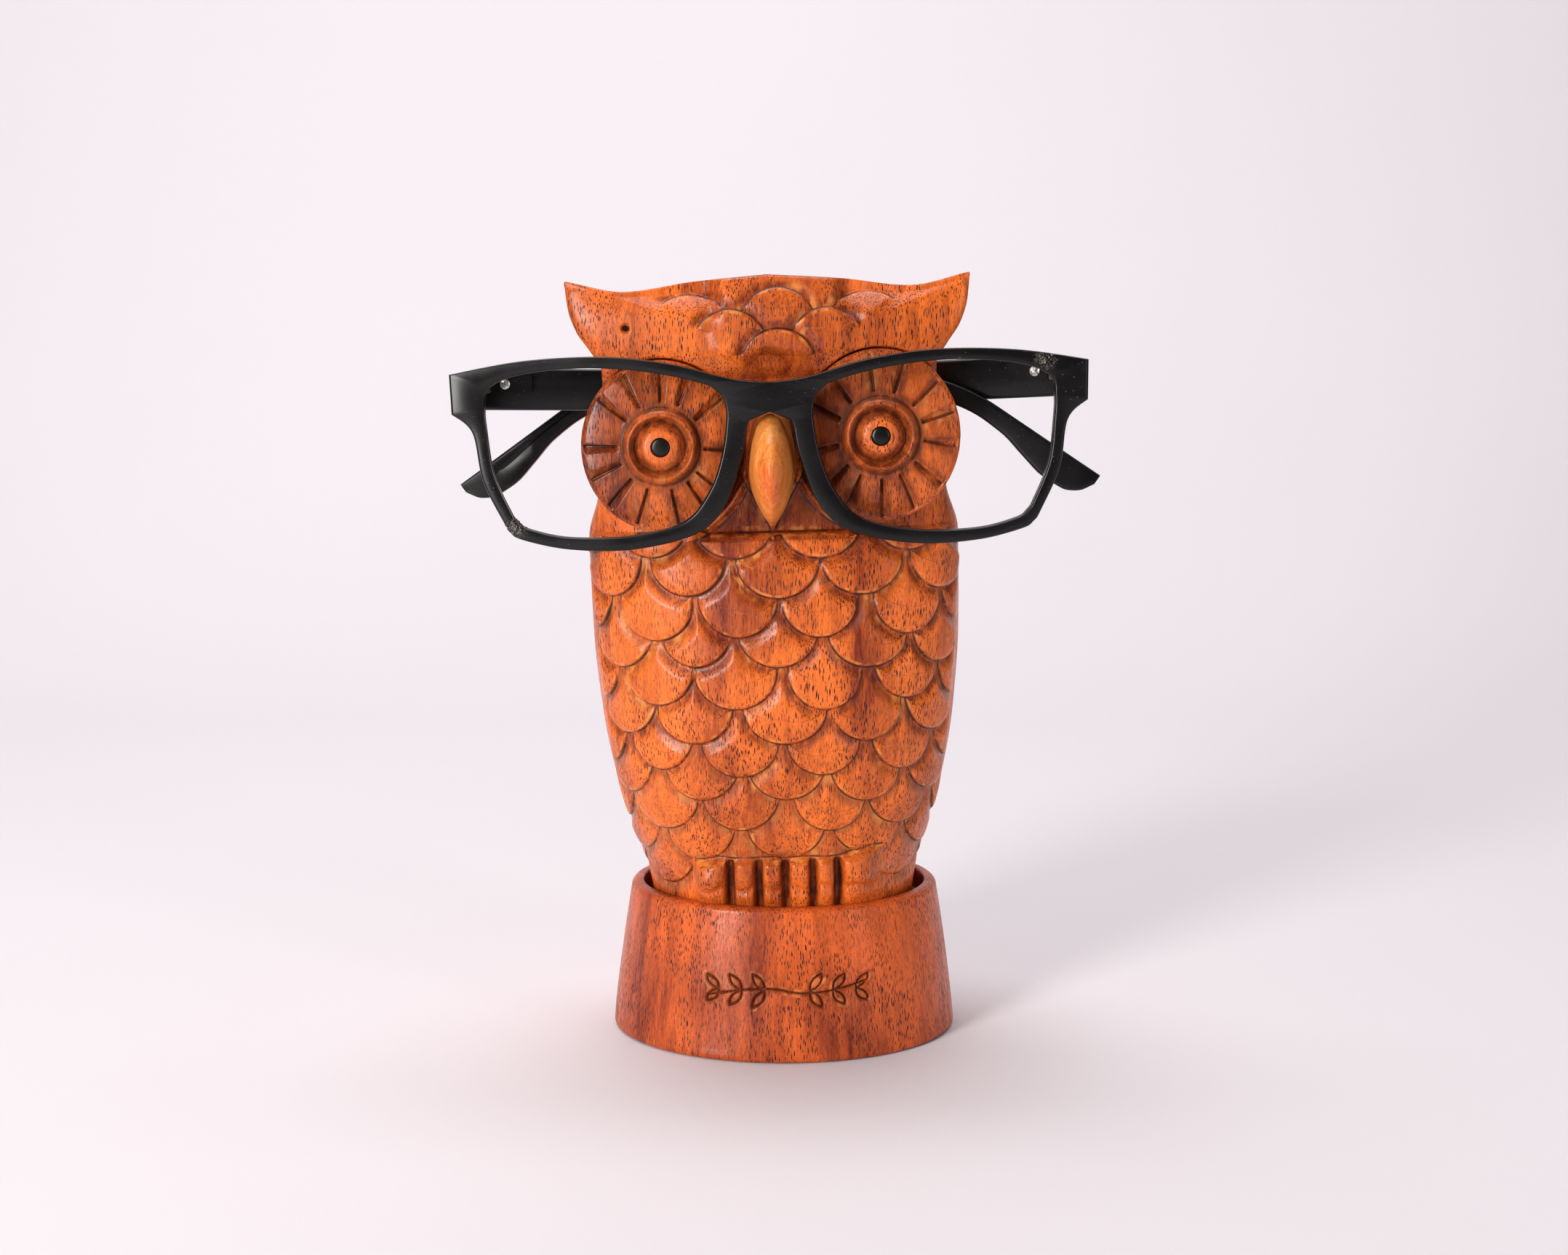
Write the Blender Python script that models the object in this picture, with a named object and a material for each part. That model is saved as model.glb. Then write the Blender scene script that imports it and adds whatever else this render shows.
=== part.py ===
"""Owl-shaped wooden eyeglasses stand, with the pair of glasses that it holds on its beak.

The frame is +Z up, with the origin in the middle of the plinth's underside. The owl faces -Y, and left and
right are the viewer's. Every length below is in millimetres; meshes are written in metres. The owl leans a
little to the left on its plinth, so all of it hangs on one tilted empty. Its head is thin because the folded
temples of the glasses lie across the back of it, the right one over the left.
"""

import math

import bmesh
import bpy
from mathutils import Matrix, Vector

MM = 0.001
GAP = 0.3  # between pieces that touch
LEAN_DEG = 1.4  # the owl's lean towards -X
OWL_SHIFT = -0.3

# Plinth: an oval block, wider at its foot, with a shallow recess that the owl stands in.
PLINTH_HEIGHT = 34.5
PLINTH_FOOT = (40.2, 34.4)  # half width, half depth
PLINTH_TOP = (35.6, 30.6)
PLINTH_RECESS = (33.0, 28.0)
RECESS_DEPTH = 5.0
RECESS_FLOOR = PLINTH_HEIGHT - RECESS_DEPTH

# Owl: height, half width, front and back of its cross-section. The front steps in above the chest.
OWL_FOOT = RECESS_FLOOR + GAP
CHEST_TOP = 118.2
FACE_BOTTOM = 119.7
BROW_BOTTOM = 155.0
EAR_TOP = 174.1
HALF_WIDTH = [
    (OWL_FOOT, 29.6), (38.5, 31.0), (49.0, 34.3), (63.0, 38.3), (77.0, 40.5), (95.0, 41.7),
    (CHEST_TOP, 41.2), (127.0, 38.6), (140.0, 36.6), (BROW_BOTTOM, 36.2), (159.5, 38.6),
    (163.5, 41.3), (168.0, 42.9), (EAR_TOP, 43.7),
]
FRONT = [
    (OWL_FOOT, 24.6), (38.5, 26.0), (49.0, 29.3), (63.0, 33.0), (85.0, 35.8), (105.0, 36.0),
    (CHEST_TOP, 34.8), (FACE_BOTTOM, 32.4), (151.5, 32.4), (BROW_BOTTOM, 34.8), (159.5, 36.4),
    (166.0, 36.2), (EAR_TOP, 33.5),
]
BACK = [  # below zero is before the origin
    (OWL_FOOT, 24.8), (46.0, 27.5), (62.0, 29.5), (78.0, 29.2), (93.0, 24.5), (106.0, 14.0),
    (CHEST_TOP, 0.5), (128.0, -12.0), (135.0, -20.5), (140.5, -25.4), (BROW_BOTTOM, -26.0), (EAR_TOP, -26.2),
]
SECTION_SIDES = 48
BODY_POWER = 2.35  # 2 is an ellipse, more is squarer
CROWN_POWER = 1.75
CROWN_TOP = [(0.0, 174.6), (16.0, 173.4), (31.0, 171.6), (43.7, EAR_TOP)]  # height over half width

# Eyes: an oval disc glued to the face, with a turned ring and a domed iris around an inlaid pupil.
EYE_X = 23.55
EYE_Z = {"left": 138.5, "right": 139.8}
DISC_HALF = (17.3, 18.5)
DISC_BACK = 31.5
PUPIL_RADIUS = 2.0
PUPIL_DEPTH = 3.6
DISC_SIDES = 40
DISC_FRONT = [  # radius, height over the back of the disc, from the pupil's hole to the rim
    (PUPIL_RADIUS + 0.12, 8.1), (3.4, 7.8), (4.9, 6.5), (5.5, 5.7), (6.0, 6.4), (6.9, 7.5), (7.7, 6.9),
    (8.4, 5.5), (12.0, 5.2), (16.2, 4.4), (17.3, 3.4),
]

# Beak: a separate hooked piece, pegged to the face. The bridge of the glasses rests on its top.
BEAK = [  # height, half width, front
    (149.6, 1.4, 34.2), (147.6, 2.7, 37.2), (145.4, 3.5, 42.1), (142.2, 4.2, 46.8), (138.2, 5.0, 51.0),
    (133.4, 5.3, 52.8), (129.0, 4.5, 51.4), (125.0, 3.0, 47.4), (122.4, 1.6, 41.4), (121.0, 0.6, 37.0),
]
BEAK_BACK = 32.7
PEG_Z = 137.0
PEG_RADIUS = 2.0
PEG_SPAN = (26.5, 43.6)

# Joinery between owl and plinth.
DOWEL_X = 15.0
DOWEL_RADIUS = 4.0
DOWEL_SPAN = (15.0, 48.0)
SCREW_Y = 13.0
SCREW_RADIUS = 2.0
SCREW_SPAN = (5.0, 50.0)
SCREW_HEAD_RADIUS = 4.2
SCREW_HEAD_HEIGHT = 2.6
COUNTERBORE_RADIUS = 4.8
BRAD_AT = (-30.5, 163.8)
BRAD_SPAN = (29.5, 33.9)

# Glasses: the front's outline as matched pairs, outer edge and lens opening, round the left lens. X runs
# from the middle of the bridge and Z from its top edge.
BRIDGE_Z = 152.0
GLASSES_FRONT = 45.7
RIM_DEPTH = 3.7
WRAP = 3.5  # how far the ends curve back
RIM_PAIRS = [
    ((0.0, 0.0), (-10.9, -1.7)), ((-8.1, 1.0), (-14.1, 0.1)), ((-20.9, 4.4), (-25.5, 2.7)),
    ((-35.2, 6.1), (-39.2, 3.8)), ((-52.1, 5.6), (-52.4, 2.7)), ((-67.6, 3.1), (-59.3, 0.0)),
    ((-67.4, -5.3), (-60.3, -4.3)), ((-63.1, -9.3), (-60.1, -9.1)), ((-61.3, -19.4), (-59.0, -18.0)),
    ((-57.2, -28.3), (-55.8, -25.9)), ((-55.6, -30.7), (-54.3, -28.3)), ((-52.9, -32.3), (-51.8, -30.0)),
    ((-43.2, -34.4), (-43.2, -31.9)), ((-30.0, -34.7), (-30.0, -31.8)), ((-16.4, -31.7), (-18.8, -29.0)),
    ((-9.9, -25.8), (-13.3, -22.8)), ((-5.9, -15.3), (-10.4, -15.2)), ((-4.3, -7.9), (-9.2, -7.5)),
    ((0.0, -6.2), (-9.5, -3.9)), ((0.0, -3.1), (-10.0, -2.7)),
]
RIM_CORNERS = {0, 5, 6, 18, 19}  # pairs where the outer edge turns sharply
RIM_STEPS = 3
RIM_CHAMFER = 0.5
PAD_DEPTH = 3.2  # how far the moulded nose pads reach behind the rim
PAD_CENTRE = (-8.5, -19.5)
PAD_REACH = 8.0
LUG_DEPTH = 11.0  # how far the end pieces reach behind the rim
LUG_INNER = -62.2
LUG_BOTTOM = -7.0
LUG_STEP = 0.4  # over how much width the end piece steps back

TEMPLE_LENGTH = 141.8
TEMPLE_BEND = (89.0, 115.0)  # where the bend over the ear starts and ends
TEMPLE_DROP_DEG = 33.5
TEMPLE_PITCH_DEG = 1.8
TEMPLE_TOP = 4.9  # its top edge over the middle of the end piece
TEMPLE_HEIGHT = [
    (0.0, 9.1), (25.0, 9.0), (60.0, 7.2), (90.0, 5.2), (112.0, 4.1), (119.0, 4.4), (126.0, 6.0), (132.0, 7.2),
    (136.5, 7.0), (140.0, 5.2), (TEMPLE_LENGTH, 2.4),
]
TEMPLE_HALF_THICK = [(0.0, 1.7), (60.0, 1.5), (95.0, 1.3), (133.5, 1.3), (TEMPLE_LENGTH, 0.8)]
TEMPLE_CURVE = (70.0, 8.0)  # where it starts to curve in towards the ear, and how far in its tip lies
TEMPLE_ANGLE_DEG = {"left": 89.3, "right": 81.0}  # how far each is folded
TEMPLE_X = 65.9
TEMPLE_Z = BRIDGE_Z - 1.1
LUG_BACK = GLASSES_FRONT - WRAP - RIM_DEPTH - LUG_DEPTH  # how far before the origin the end pieces end
TEMPLE_START = 0.5 - LUG_BACK
TEMPLE_INNER = TEMPLE_X - TEMPLE_HALF_THICK[0][1]

# Hinges: two knuckles on the front's leaf, one between them on the temple's, on an upright pin.
KNUCKLE_RADIUS = 1.35
KNUCKLE_HEIGHT = 1.05
KNUCKLE_GAP = 0.15
PIVOT = (TEMPLE_INNER - 1.9, TEMPLE_START + KNUCKLE_RADIUS, TEMPLE_Z + 1.4)
HINGE_HALF_HEIGHT = 1.5 * KNUCKLE_HEIGHT + KNUCKLE_GAP
PIN_RADIUS = 0.6
PIN_CLEARANCE = 0.08
LEAF_THICK = 0.75
FRONT_LEAF_LENGTH = 4.2
TEMPLE_LEAF = (1.75, 10.4)  # how far behind the pin the leaf starts and ends
LEAF_SCREW_RADIUS = 0.55
LEAF_SCREW_HEAD = 1.1
LEAF_SCREW_DEPTH = 2.0

SIDES = {"left": -1, "right": 1}


def clear_scene():
    for obj in list(bpy.data.objects):
        bpy.data.objects.remove(obj)


def make_material(name, colour, roughness, metallic=0.0):
    material = bpy.data.materials.new(name)
    material.use_nodes = True
    shader = material.node_tree.nodes["Principled BSDF"]
    shader.inputs["Base Color"].default_value = (*colour, 1.0)
    shader.inputs["Roughness"].default_value = roughness
    shader.inputs["Metallic"].default_value = metallic
    return material


def make_object(name, bm, material, parent=None, smooth_deg=35.0, origin=(0.0, 0.0, 0.0)):
    """Turns a bmesh in millimetres into a named object in metres, with its origin where asked."""
    bmesh.ops.recalc_face_normals(bm, faces=bm.faces)
    bmesh.ops.translate(bm, vec=-Vector(origin), verts=bm.verts)
    bm.transform(Matrix.Scale(MM, 4))
    mesh = bpy.data.meshes.new(name)
    bm.to_mesh(mesh)
    bm.free()
    mesh.shade_smooth()
    mesh.set_sharp_from_angle(angle=math.radians(smooth_deg))
    obj = bpy.data.objects.new(name, mesh)
    bpy.context.scene.collection.objects.link(obj)
    if material:
        obj.data.materials.append(material)
    obj.parent = parent
    obj.location = Vector(origin) * MM
    return obj


def at_height(table, z):
    """Smooth value of a (position, value) table at z, without overshoot."""
    if z <= table[0][0]:
        return table[0][1]
    for (z0, v0), (z1, v1) in zip(table, table[1:]):
        if z <= z1:
            t = (z - z0) / (z1 - z0)
            before = slope_at(table, z0)
            after = slope_at(table, z1)
            span = z1 - z0
            return (
                v0 * (2 * t**3 - 3 * t**2 + 1) + before * span * (t**3 - 2 * t**2 + t)
                + v1 * (3 * t**2 - 2 * t**3) + after * span * (t**3 - t**2)
            )
    return table[-1][1]


def slope_at(table, z):
    """Slope at one of the table's own points: the gentler of its two sides, or level at a peak."""
    places = [p for p, _ in table]
    i = places.index(z)
    sides = [
        (table[k + 1][1] - table[k][1]) / (table[k + 1][0] - table[k][0])
        for k in (i - 1, i)
        if 0 <= k < len(table) - 1
    ]
    if len(sides) == 1:
        return sides[0]
    if sides[0] * sides[1] <= 0:
        return 0.0
    return 2 * sides[0] * sides[1] / (sides[0] + sides[1])


def add_rings(bm, rings, close_along=False):
    """Joins rings of points with quads, and caps the ends unless the last ring meets the first."""
    loops = [[bm.verts.new(p) for p in ring] for ring in rings]
    count = len(loops[0])
    following = loops[1:] + loops[:1] if close_along else loops[1:]
    for lower, upper in zip(loops, following):
        for j in range(count):
            k = (j + 1) % count
            bm.faces.new((lower[j], lower[k], upper[k], upper[j]))
    if not close_along:
        bm.faces.new(loops[0])
        bm.faces.new(loops[-1])
    return loops


def add_turned(bm, outline, sides, to_point):
    """Turns (radius, height) points about an axis. A point on the axis closes the shape."""
    rings = []
    for radius, height in outline:
        if radius == 0:
            rings.append([bm.verts.new(to_point(0.0, 0.0, height))])
            continue
        angles = [2 * math.pi * j / sides for j in range(sides)]
        rings.append([
            bm.verts.new(to_point(radius * math.cos(a), radius * math.sin(a), height)) for a in angles
        ])
    for lower, upper in zip(rings, rings[1:]):
        for j in range(sides):
            k = (j + 1) % sides
            corners = [ring[n % len(ring)] for ring, n in ((lower, j), (lower, k), (upper, k), (upper, j))]
            bm.faces.new(list(dict.fromkeys(corners)))


def along_z(x=0.0, y=0.0):
    return lambda u, v, h: (x + u, y + v, h)


def along_y(x=0.0, z=0.0):
    """Maps a turned shape to face -Y: its height is how far it stands before the origin."""
    return lambda u, v, h: (x + u, -h, z + v)


def cylinder(radius, low, high):
    return [(0.0, low), (radius, low), (radius, high), (0.0, high)]


def combine(target, name, bm, operation, parent=None, origin=(0.0, 0.0, 0.0)):
    """Joins a hidden helper shape to target, or cuts it out."""
    helper = make_object(name, bm, None, parent, origin=origin)
    helper.hide_render = True
    helper.display_type = "WIRE"
    modifier = target.modifiers.new(name, "BOOLEAN")
    modifier.operation = operation
    modifier.solver = "EXACT"
    modifier.object = helper


def cut(target, name, outline, sides, to_point, parent=None):
    """Cuts a turned shape out of target."""
    bm = bmesh.new()
    add_turned(bm, outline, sides, to_point)
    combine(target, name, bm, "DIFFERENCE", parent)


def turned_object(name, outline, sides, to_point, material, parent, origin=(0.0, 0.0, 0.0)):
    bm = bmesh.new()
    add_turned(bm, outline, sides, to_point)
    return make_object(name, bm, material, parent, origin=origin)


def oval(half, z, sides):
    return [
        (half[0] * math.cos(2 * math.pi * j / sides), half[1] * math.sin(2 * math.pi * j / sides), z)
        for j in range(sides)
    ]


def build_plinth(wood):
    """Oval block with slightly bulging flanks, a rounded rim and a recess."""
    sides = 64
    rings = [oval([h - 0.8 for h in PLINTH_FOOT], 0.0, sides)]
    rim_round = 1.2
    for z in (1.0, 6.0, 14.0, 22.0, 29.0, PLINTH_HEIGHT - rim_round):
        share = (z / PLINTH_HEIGHT) ** 1.25
        half = [foot + (top - foot) * share for foot, top in zip(PLINTH_FOOT, PLINTH_TOP)]
        rings.append(oval(half, z, sides))
    rings.append(oval([h - rim_round for h in PLINTH_TOP], PLINTH_HEIGHT, sides))
    rings.append(oval(PLINTH_RECESS, PLINTH_HEIGHT - 0.4, sides))
    rings.append(oval([h - 0.5 for h in PLINTH_RECESS], RECESS_FLOOR, sides))
    bm = bmesh.new()
    add_rings(bm, rings)
    plinth = make_object("plinth", bm, wood)
    for name, sign in SIDES.items():
        hole = cylinder(DOWEL_RADIUS + GAP, DOWEL_SPAN[0] - GAP, PLINTH_HEIGHT + 5.0)
        cut(plinth, f"plinth_dowel_hole_{name}", hole, 20, along_z(sign * DOWEL_X, 0.0))
    head_seat = SCREW_SPAN[0] + SCREW_HEAD_HEIGHT
    for name, sign in (("front", -1), ("back", 1)):
        hole = [
            (0.0, -3.0), (COUNTERBORE_RADIUS, -3.0), (COUNTERBORE_RADIUS, SCREW_SPAN[0]),
            (SCREW_RADIUS + GAP, head_seat + 1.0), (SCREW_RADIUS + GAP, PLINTH_HEIGHT + 5.0),
            (0.0, PLINTH_HEIGHT + 5.0),
        ]
        cut(plinth, f"plinth_screw_hole_{name}", hole, 20, along_z(0.0, sign * SCREW_Y))
    return plinth


def owl_ring(z, share=None):
    """One cross-section of the owl. Over the brow, share lifts it towards the curved crown."""
    half_width = at_height(HALF_WIDTH, z)
    front = at_height(FRONT, z)
    back = at_height(BACK, z)
    middle, half_depth = (back - front) / 2, (back + front) / 2
    blend = min(max((z - CHEST_TOP) / (BROW_BOTTOM - CHEST_TOP), 0.0), 1.0)
    power = 2.0 / (BODY_POWER + (CROWN_POWER - BODY_POWER) * blend)
    ring = []
    for j in range(SECTION_SIDES):
        angle = 2 * math.pi * j / SECTION_SIDES
        c, s = math.cos(angle), math.sin(angle)
        x = half_width * math.copysign(abs(c) ** power, c)
        y = middle + half_depth * math.copysign(abs(s) ** power, s)
        level = max(1.0 - (z - OWL_FOOT) / 20.0, 0.0)  # keeps the leaning owl's foot flat
        height = z - x * math.tan(math.radians(LEAN_DEG)) * level
        if share is not None:
            height = BROW_BOTTOM + (at_height(CROWN_TOP, abs(x)) - BROW_BOTTOM) * share
        ring.append((x, y, height))
    return ring


def build_owl(wood, lean):
    """Body, face, brow and ear tufts, carved from one block."""
    rings = [owl_ring(z) for z in (OWL_FOOT, 33.0, 38.5, 49.0, 60.0, 71.0, 83.0, 96.0, 108.0)]
    rings += [owl_ring(z) for z in (CHEST_TOP, FACE_BOTTOM, 126.0, 132.0, 137.0, 141.0, 151.5)]
    for share in (0.0, 0.13, 0.27, 0.45, 0.65, 0.85, 1.0):
        rings.append(owl_ring(BROW_BOTTOM + (EAR_TOP - BROW_BOTTOM) * share, share))
    bm = bmesh.new()
    loops = add_rings(bm, rings)
    crown = loops[-1]
    bm.faces.remove(next(f for f in crown[0].link_faces if len(f.verts) == SECTION_SIDES))
    half = SECTION_SIDES // 2
    for j in range(half):
        corners = [crown[j], crown[j + 1], crown[-j - 1], crown[-j % SECTION_SIDES]]
        bm.faces.new(list(dict.fromkeys(corners)))
    owl = make_object("owl_body", bm, wood, lean)
    for name, sign in SIDES.items():
        seat = cylinder(1.0, DISC_BACK - GAP, DISC_BACK + 14.0)
        half_x, half_z = (h + GAP for h in DISC_HALF)
        centre_x, centre_z = sign * EYE_X, EYE_Z[name]
        cut(
            owl, f"disc_seat_{name}", seat, DISC_SIDES,
            lambda u, v, h, x=centre_x, z=centre_z: (x + u * half_x, -h, z + v * half_z), lean,
        )
        hole = cylinder(DOWEL_RADIUS + GAP, OWL_FOOT - 6.0, DOWEL_SPAN[1] + GAP)
        cut(owl, f"owl_dowel_hole_{name}", hole, 20, along_z(sign * DOWEL_X, 0.0))
    for name, sign in (("front", -1), ("back", 1)):
        hole = cylinder(SCREW_RADIUS + GAP, OWL_FOOT - 6.0, SCREW_SPAN[1] + GAP)
        cut(owl, f"owl_screw_hole_{name}", hole, 20, along_z(0.0, sign * SCREW_Y))
    peg_hole = cylinder(PEG_RADIUS + GAP, PEG_SPAN[0] - GAP, 60.0)
    cut(owl, "peg_hole", peg_hole, 16, along_y(0.0, PEG_Z), lean)
    brad_hole = cylinder(0.9, BRAD_SPAN[0] - GAP, 60.0)
    cut(owl, "brad_hole", brad_hole, 12, along_y(*BRAD_AT), lean)
    return owl


def build_eye(side, wood, black, lean):
    """Eye disc with ring and iris, and the pupil let into it."""
    x, z = SIDES[side] * EYE_X, EYE_Z[side]
    rim_x, rim_z = DISC_HALF

    def to_point(u, v, h):
        radius = math.hypot(u, v)
        stretch = 1.0 + (rim_z / rim_x - 1.0) * min(max((radius - 8.4) / (rim_x - 8.4), 0.0), 1.0)
        return (x + u, -h, z + v * stretch)

    hole_floor = DISC_BACK + DISC_FRONT[0][1] - PUPIL_DEPTH
    outline = [(0.0, hole_floor), (DISC_FRONT[0][0], hole_floor)]
    outline += [(r, DISC_BACK + h) for r, h in DISC_FRONT]
    outline += [(rim_x, DISC_BACK), (0.0, DISC_BACK)]
    turned_object(f"eye_disc_{side}", outline, DISC_SIDES, to_point, wood, lean)
    pupil = cylinder(PUPIL_RADIUS, hole_floor + 0.15, DISC_BACK + DISC_FRONT[0][1] - 0.1)
    turned_object(f"pupil_{side}", pupil, 24, along_y(x, z), black, lean)


def build_beak(wood, lean):
    """Hooked almond shape with a flat back, and the peg that holds it."""
    points = 18
    rings = []
    for z, half_width, front in BEAK:
        arc = [math.pi * j / (points - 1) for j in range(points)]
        rings.append([
            (half_width * math.cos(a), -BEAK_BACK - (front - BEAK_BACK) * math.sin(a) ** 0.85, z) for a in arc
        ])
    bm = bmesh.new()
    add_rings(bm, rings)
    beak = make_object("beak", bm, wood, lean, 60.0)
    peg_hole = cylinder(PEG_RADIUS + GAP, 20.0, PEG_SPAN[1] + GAP)
    cut(beak, "beak_peg_hole", peg_hole, 16, along_y(0.0, PEG_Z), lean)
    turned_object("beak_peg", cylinder(PEG_RADIUS, *PEG_SPAN), 16, along_y(0.0, PEG_Z), wood, lean)


def build_joinery(wood, steel, lean):
    """Dowels and screws between plinth and owl, and the brad in the left ear tuft."""
    for name, sign in SIDES.items():
        low, high = DOWEL_SPAN
        dowel = [
            (0.0, low), (DOWEL_RADIUS - 0.8, low), (DOWEL_RADIUS, low + 0.8), (DOWEL_RADIUS, high - 0.8),
            (DOWEL_RADIUS - 0.8, high), (0.0, high),
        ]
        turned_object(f"dowel_{name}", dowel, 20, along_z(sign * DOWEL_X, 0.0), wood, None)
    low, high = SCREW_SPAN
    for name, sign in (("front", -1), ("back", 1)):
        screw = [
            (0.0, low + 0.8), (1.4, low), (SCREW_HEAD_RADIUS, low), (SCREW_RADIUS, low + SCREW_HEAD_HEIGHT),
            (SCREW_RADIUS, high - 4.0), (0.0, high),
        ]
        turned_object(f"plinth_screw_{name}", screw, 20, along_z(0.0, sign * SCREW_Y), steel, None)
    x, z = BRAD_AT
    turned_object("ear_brad", cylinder(0.6, *BRAD_SPAN), 12, along_y(x, z), steel, lean)


def smooth_pairs():
    """The rim's pairs as two matched smooth loops, with the outer one's corners kept."""
    loops = ([], [])
    count = len(RIM_PAIRS)
    for i in range(count):
        for step in range(RIM_STEPS):
            t = step / RIM_STEPS
            for k in (0, 1):
                p = [Vector(RIM_PAIRS[(i + n) % count][k]) for n in (-1, 0, 1, 2)]
                if k == 0 and i in RIM_CORNERS:
                    p[0] = p[1]
                if k == 0 and (i + 1) % count in RIM_CORNERS:
                    p[3] = p[2]
                if k == 0 and i in (17, 18):  # the cut through the middle of the bridge is straight
                    loops[k].append(p[1].lerp(p[2], t))
                    continue
                loops[k].append(
                    0.5 * (2 * p[1] + (p[2] - p[0]) * t + (2 * p[0] - 5 * p[1] + 4 * p[2] - p[3]) * t**2
                           + (3 * p[1] - p[0] - 3 * p[2] + p[3]) * t**3)
                )
    return loops


def point_across(inner, outer, x, otherwise):
    """Point between inner and outer at x, or at the share given where x is not between them."""
    width = outer.x - inner.x
    share = (x - inner.x) / width if abs(width) > 1.0 else 0.0
    return inner.lerp(outer, share if 0.15 < share < 0.85 else otherwise)


def wrapped(x):
    """Y of the front's face at x."""
    return WRAP * (x / RIM_PAIRS[5][0][0]) ** 2 - GLASSES_FRONT


def reach_behind(x, z):
    """How far the front reaches behind its rim there: nose pads and end pieces."""
    pad = math.hypot(x - PAD_CENTRE[0], (z - PAD_CENTRE[1]) * 0.8) / PAD_REACH
    pad_share = max(0.0, 1.0 - pad**2) ** 1.5
    lug = LUG_DEPTH if x < LUG_INNER and z > LUG_BOTTOM else 0.0
    return PAD_DEPTH * pad_share + lug


def build_front(black, lean):
    """The glasses' front: two rims, bridge, nose pads and end pieces, moulded in one."""
    outer, inner = smooth_pairs()
    c = RIM_CHAMFER
    rings = []
    for o, i in zip(outer, inner):
        out = (o - i).normalized()
        on_middle = abs(o.x) < 1e-6
        o_front = o if on_middle else o - out * c
        ring = []
        edge = 0.0 if on_middle else c
        front_points = [(i, c), (i + out * c, 0.0), (o_front, 0.0), (o, edge)]
        step_near = point_across(i, o, LUG_INNER + LUG_STEP / 2, 0.3)
        step_far = point_across(i, o, LUG_INNER - LUG_STEP / 2, 0.4)
        back_points = [
            (o, edge), (o_front, 0.0), (step_far, 0.0), (step_near, 0.0), (i + out * c, 0.0), (i, c),
        ]
        for place, inset in front_points:
            ring.append((place.x, wrapped(place.x) + inset, BRIDGE_Z + place.y))
        for place, inset in back_points:
            reach = RIM_DEPTH + reach_behind(place.x, place.y) - inset
            ring.append((place.x, wrapped(place.x) + reach, BRIDGE_Z + place.y))
        rings.append(ring)
    bm = bmesh.new()
    add_rings(bm, rings, close_along=True)
    bmesh.ops.remove_doubles(bm, verts=bm.verts, dist=1e-4)
    middle = [f for f in bm.faces if all(abs(v.co.x) < 1e-5 for v in f.verts)]
    bmesh.ops.delete(bm, geom=middle, context="FACES")
    mirrored = bmesh.ops.duplicate(bm, geom=bm.verts[:] + bm.edges[:] + bm.faces[:])["geom"]
    copies = [g for g in mirrored if isinstance(g, bmesh.types.BMVert)]
    bmesh.ops.scale(bm, vec=(-1, 1, 1), verts=copies)
    flipped = [g for g in mirrored if isinstance(g, bmesh.types.BMFace)]
    bmesh.ops.reverse_faces(bm, faces=flipped)
    bmesh.ops.remove_doubles(bm, verts=bm.verts, dist=1e-4)
    return make_object("glasses_front", bm, black, lean, 30.0)


def temple_edge(s):
    """Place (back, up) and slope of the temple's top edge at arc length s."""
    bend_start, bend_end = TEMPLE_BEND
    back, up, done = 0.0, 0.0, 0.0
    while True:
        share = min(max((done - bend_start) / (bend_end - bend_start), 0.0), 1.0)
        slope = math.radians(TEMPLE_PITCH_DEG + TEMPLE_DROP_DEG * share)
        if done >= s - 1e-9:
            return back, up, slope
        length = min(0.5, s - done)
        back += length * math.cos(slope)
        up -= length * math.sin(slope)
        done += length


def temple_inset(s):
    """How far a temple has curved in at arc length s."""
    start, depth = TEMPLE_CURVE
    return depth * max((s - start) / (TEMPLE_LENGTH - start), 0.0) ** 2


def pivot_of(side):
    return Vector((SIDES[side] * PIVOT[0], PIVOT[1], PIVOT[2]))


def fold(obj, side):
    """Turns a piece of a temple from fully open to its folded rest position."""
    obj.rotation_euler = (0.0, 0.0, SIDES[side] * math.radians(TEMPLE_ANGLE_DEG[side]))


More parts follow.
